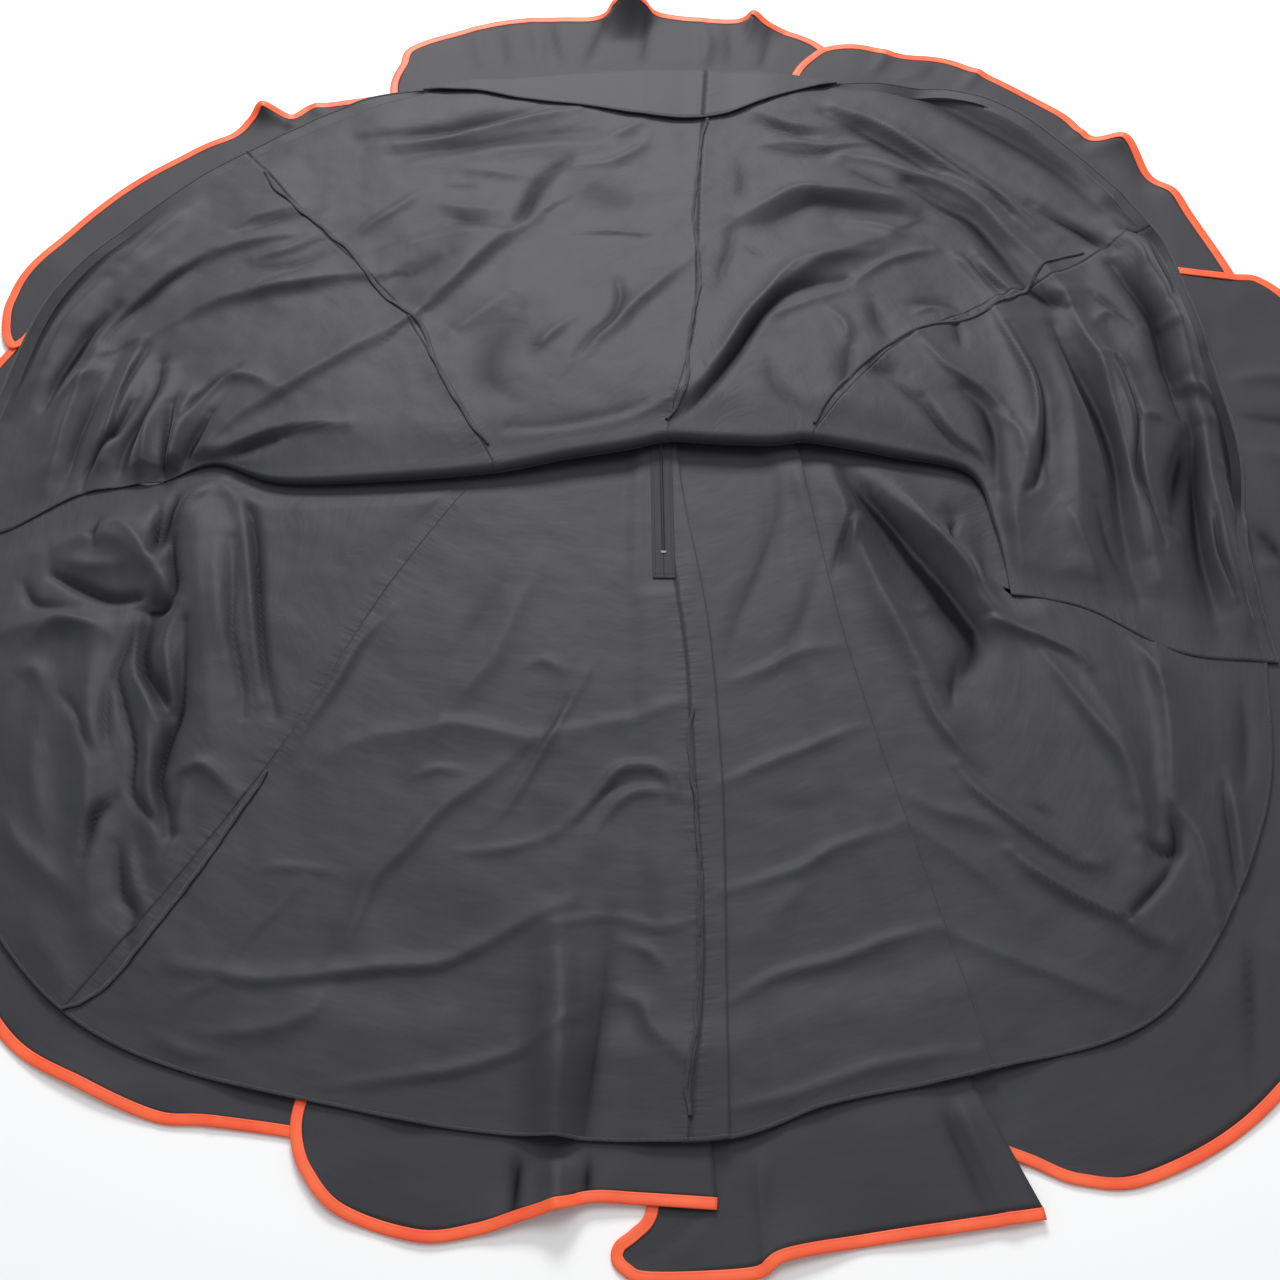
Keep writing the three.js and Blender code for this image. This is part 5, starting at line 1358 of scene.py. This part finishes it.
def tack_piece():
    """A small pale thread tack across the foot of the coil."""
    x, y = zip_point(TACK_AT)
    z = COIL_LOW + 0.4
    starts = [np.array([x - TACK_HALF, y + d, z]) for d in (-1.0, 0, 1.0)]
    ends = [np.array([x + TACK_HALF, y + d, z]) for d in (-1.0, 0, 1.0)]
    return stitch_piece("zip_tack", starts, ends, TACK_RADIUS)


# ---- hidden pieces at the waist ----
BAND_HALF = 176
BAND_THICK = 2.4
BAND_SEAM = 1.2
BAND_SOFT = 0.7  # radius of its edges
BAND_STATIONS = 49
BAND_TOP = 7.4  # middle of its upper half above the floor
BAND_OVER_PLEATS = 6.6  # and how much higher where it lies over the pleats
BAND_CORNERS = ((1, -1, -90), (1, 1, 0), (-1, 1, 90), (-1, -1, 180))  # out, along, and start of the turn
ALONG_BAND = np.array([0, 1.0, 0])
UNDER_STATIONS = 81
UNDER_FROM, UNDER_TO = 345, -455  # the front's turned cloth, from right to left
UNDER_LOW = 3.4
UNDER_OVER_PLEATS = 6.8
UNDER_LAYER = (1.1, 1.9)  # thickness of a layer at the ends and in the middle
LAYER_PARTS = (0.08, 0.35, 0.65, 0.92)  # heights in a layer where its soft edge has a point
LAYER_FULL = 0.93
LAYER_BULGE = 0.6


def over_pleats(x):
    return smooth(x, -160, -62) * (1 - smooth(x, 225, 330))


def band_section(centre, out):
    """A section of the flat band with soft corners."""
    ring = []
    for out_side, up_side, begin in BAND_CORNERS:
        for turn in np.radians(begin + 30 * np.arange(4)):
            thick = out_side * (BAND_THICK / 2 - BAND_SOFT) + BAND_SOFT * np.cos(turn)
            tall = up_side * (BAND_WIDE / 2 - BAND_SOFT) + BAND_SOFT * np.sin(turn)
            ring.append(centre + out * thick + ALONG_BAND * tall)
    return ring


def band_top(x):
    return BAND_TOP + BAND_OVER_PLEATS * over_pleats(x)


def band_turn(side):
    """Sections round the fold at one end of the band."""
    low = BAND_THICK / 2
    radius = (band_top(side * BAND_HALF) - low) / 2
    y = (back_waist(BAND_HALF) + front_waist(BAND_HALF)) / 2 + BAND_WIDE / 2
    sections = []
    for angle in np.radians(np.linspace(-60, 60, 5)) * side:
        turned = angle if side > 0 else np.pi + angle
        out = np.array([-np.cos(turned), 0, -np.sin(turned)])
        centre = np.array([side * (BAND_HALF - 1), y, low + radius]) - out * radius
        sections.append(band_section(centre, out))
    return sections


def waistband_piece():
    """A closed doubled band, flat along both sides and folded at each end."""
    sections = []
    for x in np.linspace(-BAND_HALF, BAND_HALF, BAND_STATIONS):
        centre = np.array([x, back_waist(x) + BAND_SEAM + BAND_WIDE / 2, BAND_THICK / 2])
        sections.append(band_section(centre, np.array([0, 0, 1.0])))
    sections += band_turn(1)
    for x in np.linspace(BAND_HALF, -BAND_HALF, BAND_STATIONS):
        centre = np.array([x, front_waist(x) + BAND_WIDE / 2, band_top(x)])
        sections.append(band_section(centre, np.array([0, 0, -1.0])))
    sections = np.array(sections + band_turn(-1))
    faces = grid_faces(*sections.shape[:2], closed=True, looped=True)
    return mesh_piece("waistband_cloth", sections.reshape(-1, 3), faces)


def layered_edge(x, places, low, layer, way):
    """The soft edges of stepped layers from the lowest up, bulging towards the far side where way is 1."""
    return [
        [x, y + way * LAYER_BULGE * np.sin(np.pi * part), low + (k + part) * layer * LAYER_FULL]
        for k, y in enumerate(places) for part in LAYER_PARTS
    ]


def turned_under_piece():
    """Layers of the front's cloth on each other, stepped and soft along both edges."""
    sections = []
    for share in np.linspace(0, 1, UNDER_STATIONS):
        x = lerp(UNDER_FROM, UNDER_TO, share)
        roll = ROLL_LINE[np.abs(ROLL_LINE[:, 0] - x).argmin()]
        wave = 1.5 * np.sin(x / 31) + 1.1 * np.sin(x / 13 + 1)
        near = roll[1] + ROLL_LIP + 10
        past_waist = max(abs(x) - HALF_WAIST + 1, 0)
        far = front_waist(min(abs(x), HALF_WAIST - 1)) - BAND_SEAM - past_waist * 0.33
        low = UNDER_LOW + UNDER_OVER_PLEATS * over_pleats(x)
        layer = lerp(*UNDER_LAYER, np.sin(np.pi * share) ** 0.5)
        inner = max(far, near + 20)
        ring = layered_edge(x, (near, near + 4 + wave * 0.4, near + 8), low, layer, -1)
        ring += layered_edge(x, (inner, inner - 3, inner - 5), low, layer, 1)[::-1]
        sections.append(ring)
    return tubes_piece("front_cloth_turned_under", [sections])


# ---- materials ----
def new_group(name, inputs, outputs):
    group = bpy.data.node_groups.new(name, "ShaderNodeTree")
    for label, kind, value in inputs:
        socket = group.interface.new_socket(label, in_out="INPUT", socket_type=kind)
        if value is not None:
            socket.default_value = value
    for label, kind in outputs:
        group.interface.new_socket(label, in_out="OUTPUT", socket_type=kind)
    return group, group.nodes.new("NodeGroupInput"), group.nodes.new("NodeGroupOutput")


def math_node(tree, operation, a, b=None):
    node = tree.nodes.new("ShaderNodeMath")
    node.operation = operation
    for socket, value in zip(node.inputs, (a, b)):
        if value is None:
            continue
        if isinstance(value, (int, float)):
            socket.default_value = value
        else:
            tree.links.new(value, socket)
    return node.outputs[0]


def noise_node(tree, vector, scale, detail=3.0, roughness=0.55):
    node = tree.nodes.new("ShaderNodeTexNoise")
    node.inputs["Scale"].default_value = scale
    node.inputs["Detail"].default_value = detail
    node.inputs["Roughness"].default_value = roughness
    tree.links.new(vector, node.inputs["Vector"])
    return node.outputs["Fac"]


def mapped(tree, vector, scale, turn=0.0):
    node = tree.nodes.new("ShaderNodeMapping")
    node.inputs["Scale"].default_value = scale
    node.inputs["Rotation"].default_value = (0, 0, turn)
    tree.links.new(vector, node.inputs["Vector"])
    return node.outputs[0]


def weave_group():
    """Height of a fine twill weave over cloth coordinates in metres."""
    group, entry, leave = new_group(
        "fine_weave",
        [("Cloth", "NodeSocketVector", None), ("Threads per metre", "NodeSocketFloat", 2200.0)],
        [("Height", "NodeSocketFloat")])
    split = group.nodes.new("ShaderNodeSeparateXYZ")
    group.links.new(entry.outputs["Cloth"], split.inputs[0])
    turns = math_node(group, "MULTIPLY", entry.outputs["Threads per metre"], 2 * np.pi)
    u = math_node(group, "MULTIPLY", split.outputs[0], turns)
    v = math_node(group, "MULTIPLY", split.outputs[1], turns)
    warp = math_node(group, "SINE", u)
    weft = math_node(group, "SINE", v)
    twill = math_node(group, "SINE", math_node(group, "ADD", u, v))
    both = math_node(group, "ADD", math_node(group, "MULTIPLY", warp, weft), twill)
    group.links.new(math_node(group, "MULTIPLY", both, 0.25), leave.inputs["Height"])
    return group


def rumple_group():
    """Uneven small rumples of pressed cloth, drawn out along two ways, and puckers along a seam."""
    group, entry, leave = new_group(
        "soft_rumples",
        [("Cloth", "NodeSocketVector", None), ("Seam", "NodeSocketFloat", 1.0)],
        [("Height", "NodeSocketFloat"), ("Pucker", "NodeSocketFloat")])
    cloth = entry.outputs["Cloth"]
    long = noise_node(group, mapped(group, cloth, (9, 26, 1), 0.6), 1.0, 3.0)
    short = noise_node(group, mapped(group, cloth, (42, 18, 1), -0.5), 1.0, 2.0)
    both = math_node(group, "ADD", long, math_node(group, "MULTIPLY", short, 0.3))
    group.links.new(both, leave.inputs["Height"])
    ripple = noise_node(group, mapped(group, cloth, (8, 95, 1)), 1.0, 2.0)
    close = math_node(group, "SUBTRACT", 1.0, math_node(group, "MULTIPLY", entry.outputs["Seam"], 38.0))
    close = math_node(group, "MAXIMUM", close, 0.0)
    pucker = math_node(group, "MULTIPLY", ripple, math_node(group, "POWER", close, 1.6))
    group.links.new(pucker, leave.inputs["Pucker"])
    return group


WEAVE = weave_group()
RUMPLES = rumple_group()


def group_node(tree, group):
    node = tree.nodes.new("ShaderNodeGroup")
    node.node_tree = group
    return node


def cloth_coordinates(tree):
    node = tree.nodes.new("ShaderNodeUVMap")
    node.uv_map = "cloth"
    return node.outputs[0]


def attribute(tree, name):
    node = tree.nodes.new("ShaderNodeAttribute")
    node.attribute_name = name
    return node.outputs["Fac"]


def object_coordinates(tree):
    return tree.nodes.new("ShaderNodeTexCoord").outputs["Object"]


def bump(tree, height, strength, distance, normal=None):
    node = tree.nodes.new("ShaderNodeBump")
    node.inputs["Strength"].default_value = strength
    node.inputs["Distance"].default_value = distance
    tree.links.new(height, node.inputs["Height"])
    if normal is not None:
        tree.links.new(normal, node.inputs["Normal"])
    return node.outputs[0]


def ramp(tree, value, stops):
    node = tree.nodes.new("ShaderNodeValToRGB")
    while len(node.color_ramp.elements) < len(stops):
        node.color_ramp.elements.new(0.5)
    for element, (position, colour) in zip(node.color_ramp.elements, stops):
        element.position = position
        element.color = (*colour, 1)
    tree.links.new(value, node.inputs["Fac"])
    return node.outputs["Color"]


def new_material(name, roughness, sheen=0.0, specular=0.5):
    material = bpy.data.materials.new(name)
    material.use_nodes = True
    tree = material.node_tree
    shader = tree.nodes["Principled BSDF"]
    shader.inputs["Roughness"].default_value = roughness
    shader.inputs["Specular IOR Level"].default_value = specular
    shader.inputs["Sheen Weight"].default_value = sheen
    shader.inputs["Sheen Roughness"].default_value = 0.45
    return material, tree, shader


SHADE_IN_TROUGHS = 0.92  # share of its colour, gloss and sheen that a deep narrow trough loses to painted shade
# the dark colour of the painted shade in troughs
PAINTED_SHADE_COLOUR = (0.004, 0.004, 0.005, 1)
COLOUR_A, COLOUR_B, COLOUR_OUT = 6, 7, 2  # the colour sockets of a Mix node
RUMPLE_DEEP = 0.004
PUCKER_STRONG, PUCKER_DEEP = 0.55, 0.0035
WEAVE_STRONG, WEAVE_DEEP = 0.12, 0.0002


def cloth_material(name, dark, light, roughness, sheen, specular, rumple):
    """Smooth woven cloth with weave, rumples and puckers in its normal and faint changes in its shade.

    Painted shade darkens a trough: it loses colour, gloss and sheen, as cloth that little light reaches.
    """
    material, tree, shader = new_material(name, roughness, sheen, specular)
    cloth = cloth_coordinates(tree)
    weave = group_node(tree, WEAVE)
    tree.links.new(cloth, weave.inputs["Cloth"])
    rumples = group_node(tree, RUMPLES)
    tree.links.new(cloth, rumples.inputs["Cloth"])
    tree.links.new(attribute(tree, "seam"), rumples.inputs["Seam"])
    normal = bump(tree, rumples.outputs["Height"], rumple, RUMPLE_DEEP)
    normal = bump(tree, rumples.outputs["Pucker"], PUCKER_STRONG, PUCKER_DEEP, normal)
    normal = bump(tree, weave.outputs["Height"], WEAVE_STRONG, WEAVE_DEEP, normal)
    tree.links.new(normal, shader.inputs["Normal"])
    cloudy = noise_node(tree, object_coordinates(tree), 3.5, 4.0)
    plain = ramp(tree, cloudy, [(0.3, dark), (0.7, light)])
    # painted shade: in a trough the colour is mixed towards a dark one, and gloss and sheen are cut
    shade = math_node(tree, "MULTIPLY", attribute(tree, "painted_shade"), SHADE_IN_TROUGHS)
    mix = tree.nodes.new("ShaderNodeMix")
    mix.data_type = "RGBA"
    tree.links.new(shade, mix.inputs["Factor"])
    tree.links.new(plain, mix.inputs[COLOUR_A])
    mix.inputs[COLOUR_B].default_value = PAINTED_SHADE_COLOUR
    tree.links.new(mix.outputs[COLOUR_OUT], shader.inputs["Base Color"])
    lit = math_node(tree, "SUBTRACT", 1.0, shade)
    tree.links.new(math_node(tree, "MULTIPLY", lit, specular), shader.inputs["Specular IOR Level"])
    tree.links.new(math_node(tree, "MULTIPLY", lit, sheen), shader.inputs["Sheen Weight"])
    return material


def satin_material():
    material, tree, shader = new_material("orange_satin", 0.46, 0.10, 0.3)
    coordinates = object_coordinates(tree)
    threads = noise_node(tree, mapped(tree, coordinates, (900, 900, 60)), 1.0, 2.0)
    tree.links.new(bump(tree, threads, 0.15, 0.0003), shader.inputs["Normal"])
    uneven = noise_node(tree, coordinates, 18.0, 3.0)
    colour = ramp(tree, uneven, [(0.3, (0.86, 0.090, 0.028)), (0.72, (0.96, 0.150, 0.050))])
    tree.links.new(colour, shader.inputs["Base Color"])
    return material


def plain_material(name, colour, roughness):
    material, _, shader = new_material(name, roughness)
    shader.inputs["Base Color"].default_value = (*colour, 1)
    return material


def thread_material(name, dark, light, roughness=0.75):
    material, tree, shader = new_material(name, roughness, 0.2, 0.3)
    fuzz = noise_node(tree, object_coordinates(tree), 900.0, 2.0)
    tree.links.new(ramp(tree, fuzz, [(0.3, dark), (0.7, light)]), shader.inputs["Base Color"])
    tree.links.new(bump(tree, fuzz, 0.4, 0.0004), shader.inputs["Normal"])
    return material


INSIDE = cloth_material(
    "charcoal_inside", (0.027, 0.027, 0.032), (0.034, 0.034, 0.040), 0.60, 0.12, 0.30, 0.4)
FLOUNCE = cloth_material(
    "charcoal_flounce", (0.028, 0.028, 0.033), (0.035, 0.035, 0.041), 0.64, 0.10, 0.29, 0.25)
SATIN = satin_material()
SERGING = thread_material("charcoal_serging", (0.018, 0.018, 0.022), (0.048, 0.048, 0.055))
TAPE = cloth_material("zip_tape_weave", (0.020, 0.020, 0.023), (0.029, 0.029, 0.033), 0.7, 0.1, 0.3, 0.1)
THREAD = thread_material("dark_thread", (0.012, 0.012, 0.014), (0.03, 0.03, 0.034))
PALE_THREAD = thread_material("pale_thread", (0.42, 0.42, 0.44), (0.60, 0.60, 0.62))
COIL = plain_material("zip_coil_nylon", (0.022, 0.022, 0.025), 0.38)
SLIDER = plain_material("painted_slider", (0.028, 0.028, 0.031), 0.3)


def finish_piece(piece, material, slot, *nodes):
    piece.data.materials.append(material)
    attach(piece, "root")
    if nodes:
        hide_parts(*nodes)
    return piece


# ---- assembling the cloth ----
# Each gore's cut, in metres, and the flounces it lies on. It is a flared panel, wide at its hem and
# top at its upper end. A back gore's runs from the waist to the hem, and a front gore's from the roll.
WAIST_SHARE = 0.09  # width of one of eight gores at the waist
AT_ROLL = 0.22  # and of a front gore where it turns under
GORE_CUTS = table(["name", "wide", "top", "long", "on"], [
    ["side_back_left", 0.66, WAIST_SHARE, 0.87, ["flounce_left"]],
    ["back_left", 0.62, WAIST_SHARE, 0.89, ["flounce_back_left", "flounce_left"]],
    ["back_right", 0.50, WAIST_SHARE, 0.90, ["flounce_back_right", "flounce_back_left"]],
    ["side_back_right", 0.66, WAIST_SHARE, 0.87, ["flounce_right"]],
    ["side_front_right", 0.66, AT_ROLL, 0.69, ["flounce_front_right", "flounce_right"]],
    ["front_right", 0.70, AT_ROLL, 0.69, ["flounce_front_right", "flounce_front"]],
    ["front_left", 0.68, AT_ROLL, 0.69, ["flounce_front", "flounce_front_left"]],
    ["side_front_left", 0.73, AT_ROLL, 0.69, ["flounce_front_left", "flounce_left"]],
])


def add_gores():
    pieces, grids = {}, {}
    for grid, painted_shade, cuts in (back_grid(), front_grid()):
        for name, (first, last) in cuts.items():
            part = grid[first:last + 1]
            piece = cloth_piece("cloth_" + name, part, painted_shade[first:last + 1])
            finish_piece(piece, INSIDE, "inside_cloth", name)
            pieces[name] = piece
            grids[name] = part
    return pieces, grids


def add_seams(grids):
    """Allowances along the gores' seams, and oversewn edges there and at the base hem."""
    height_at = ground_under([grid[::2, ::2] for grid in grids.values()])
    sewn = {name: [] for name in grids}
    for seed, (name, seam) in enumerate(SEAM_LINES.items()):
        strip, edge, inward = allowance_piece(
            "allowance_" + name, seam["along"], seam["side"], seam["width"], seam["lift"], height_at, seed)
        finish_piece(strip, INSIDE, "inside_cloth")
        threads = serge_piece("serging_" + name, edge, inward)
        finish_piece(threads, SERGING, "inside_cloth")
        sewn[seam["gore"]] += [strip, threads]
    for name, grid in grids.items():
        edge = grid[:, 0]
        inward = grid[:, 4, :2] - edge[:, :2]
        threads = serge_piece("serging_hem_" + name, edge, inward)
        finish_piece(threads, SERGING, "inside_cloth")
        sewn[name].append(threads)
    return sewn


def add_flounces():
    pieces = {}
    for name, flounce in FLOUNCES.items():
        grid, painted_shade = flounce_grid(flounce)
        piece = cloth_piece("cloth_flounce_" + name, grid, painted_shade, seams=(False, False))
        finish_piece(piece, FLOUNCE, "flounce_cloth", "flounce_" + name)
        pieces["flounce_" + name] = piece
        strip = binding_piece("satin_binding_" + name, flounce)
        finish_piece(strip, SATIN, "satin_binding", "binding_" + name)
        pieces["binding_" + name] = strip
    return pieces


def add_zip():
    left = tape_piece("woven_tape_left", -CLEAR / 2, -ZIP_TAPE - CLEAR / 2)
    right = tape_piece("woven_tape_right", CLEAR / 2, ZIP_TAPE + CLEAR / 2)
    finish_piece(left, TAPE, "zip_tape", "zip_tape_left")
    finish_piece(right, TAPE, "zip_tape", "zip_tape_right")
    finish_piece(coil_piece(), COIL, "zip_coil", "zip_coil")
    finish_piece(slider_piece(), SLIDER, "zip_slider", "zip_slider")
    finish_piece(tape_stitches(), THREAD, "zip_tape")
    finish_piece(tack_piece(), PALE_THREAD, "zip_tape")


def add_waist():
    finish_piece(waistband_piece(), INSIDE, "inside_cloth", "waistband")
    finish_piece(turned_under_piece(), INSIDE, "inside_cloth", "front_turned_under")


def declare_sheets(trims):
    for cut in GORE_CUTS:
        [trims[name] for name in cut["on"]]


GORES, GRIDS = add_gores()
TRIMS = add_flounces()
SEWN = add_seams(GRIDS)
add_zip()
add_waist()


# ---- stage: floor, camera and lights ----
def add_camera():
    pitch, yaw, roll = np.radians([CAMERA_PITCH, CAMERA_YAW, CAMERA_ROLL])
    forward = np.array([0, np.cos(pitch), -np.sin(pitch)])
    right = np.array([1.0, 0, 0])
    up = np.cross(right, forward)
    right, up = (np.cos(roll) * right + np.sin(roll) * up, np.cos(roll) * up - np.sin(roll) * right)
    turn = np.array([[np.cos(yaw), -np.sin(yaw), 0], [np.sin(yaw), np.cos(yaw), 0], [0, 0, 1]])
    axes = np.stack([turn @ right, turn @ up, -(turn @ forward)], 1)
    place = np.eye(4)
    place[:3, :3] = axes
    place[:3, 3] = to_frame(CAMERA_AT)
    data = bpy.data.cameras.new("camera")
    data.lens = LENS
    data.sensor_width = SENSOR
    camera = bpy.data.objects.new("camera", data)
    camera.matrix_world = Matrix(place.tolist())
    bpy.context.scene.collection.objects.link(camera)
    bpy.context.scene.camera = camera


FLOOR_SIZE = 14
FLOOR_LOW = -0.0006
FLOOR_COLOUR = (0.97, 0.97, 0.965)
SKY_COLOUR = (0.95, 0.97, 1.0, 1)
SKY_STRENGTH = 0.46
LIGHTS = table(["name", "place", "target", "size", "power"], [
    ["window", (-0.35, 2.85, 2.15), (0, 0.05, 0), (1.4, 1.0), 112],
    ["ceiling", (0.3, 0.8, 3.2), (0, 0, 0), (2.0, 2.0), 37],
])


def add_floor():
    bpy.ops.mesh.primitive_plane_add(size=FLOOR_SIZE, location=(0, 0, FLOOR_LOW))
    floor = bpy.context.object
    floor.name = "floor"
    bpy.ops.object.transform_apply(location=True, rotation=True, scale=True)
    floor.data.materials.append(plain_material("pale_floor", FLOOR_COLOUR, 0.55))


def add_area_light(name, place, target, size, power):
    data = bpy.data.lights.new(name, "AREA")
    data.shape = "RECTANGLE"
    data.size, data.size_y = size
    data.energy = power
    light = bpy.data.objects.new(name, data)
    light.location = place
    light.rotation_euler = (Vector(target) - Vector(place)).to_track_quat("-Z", "Y").to_euler()
    bpy.context.scene.collection.objects.link(light)


def add_light():
    for light in LIGHTS:
        add_area_light(**light)
    world = bpy.data.worlds.new("room")
    world.use_nodes = True
    sky = world.node_tree.nodes["Background"]
    sky.inputs["Color"].default_value = SKY_COLOUR
    sky.inputs["Strength"].default_value = SKY_STRENGTH
    bpy.context.scene.world = world


add_camera()
add_floor()
add_light()
declare_sheets(TRIMS)
bpy.context.scene.view_settings.view_transform = "Standard"
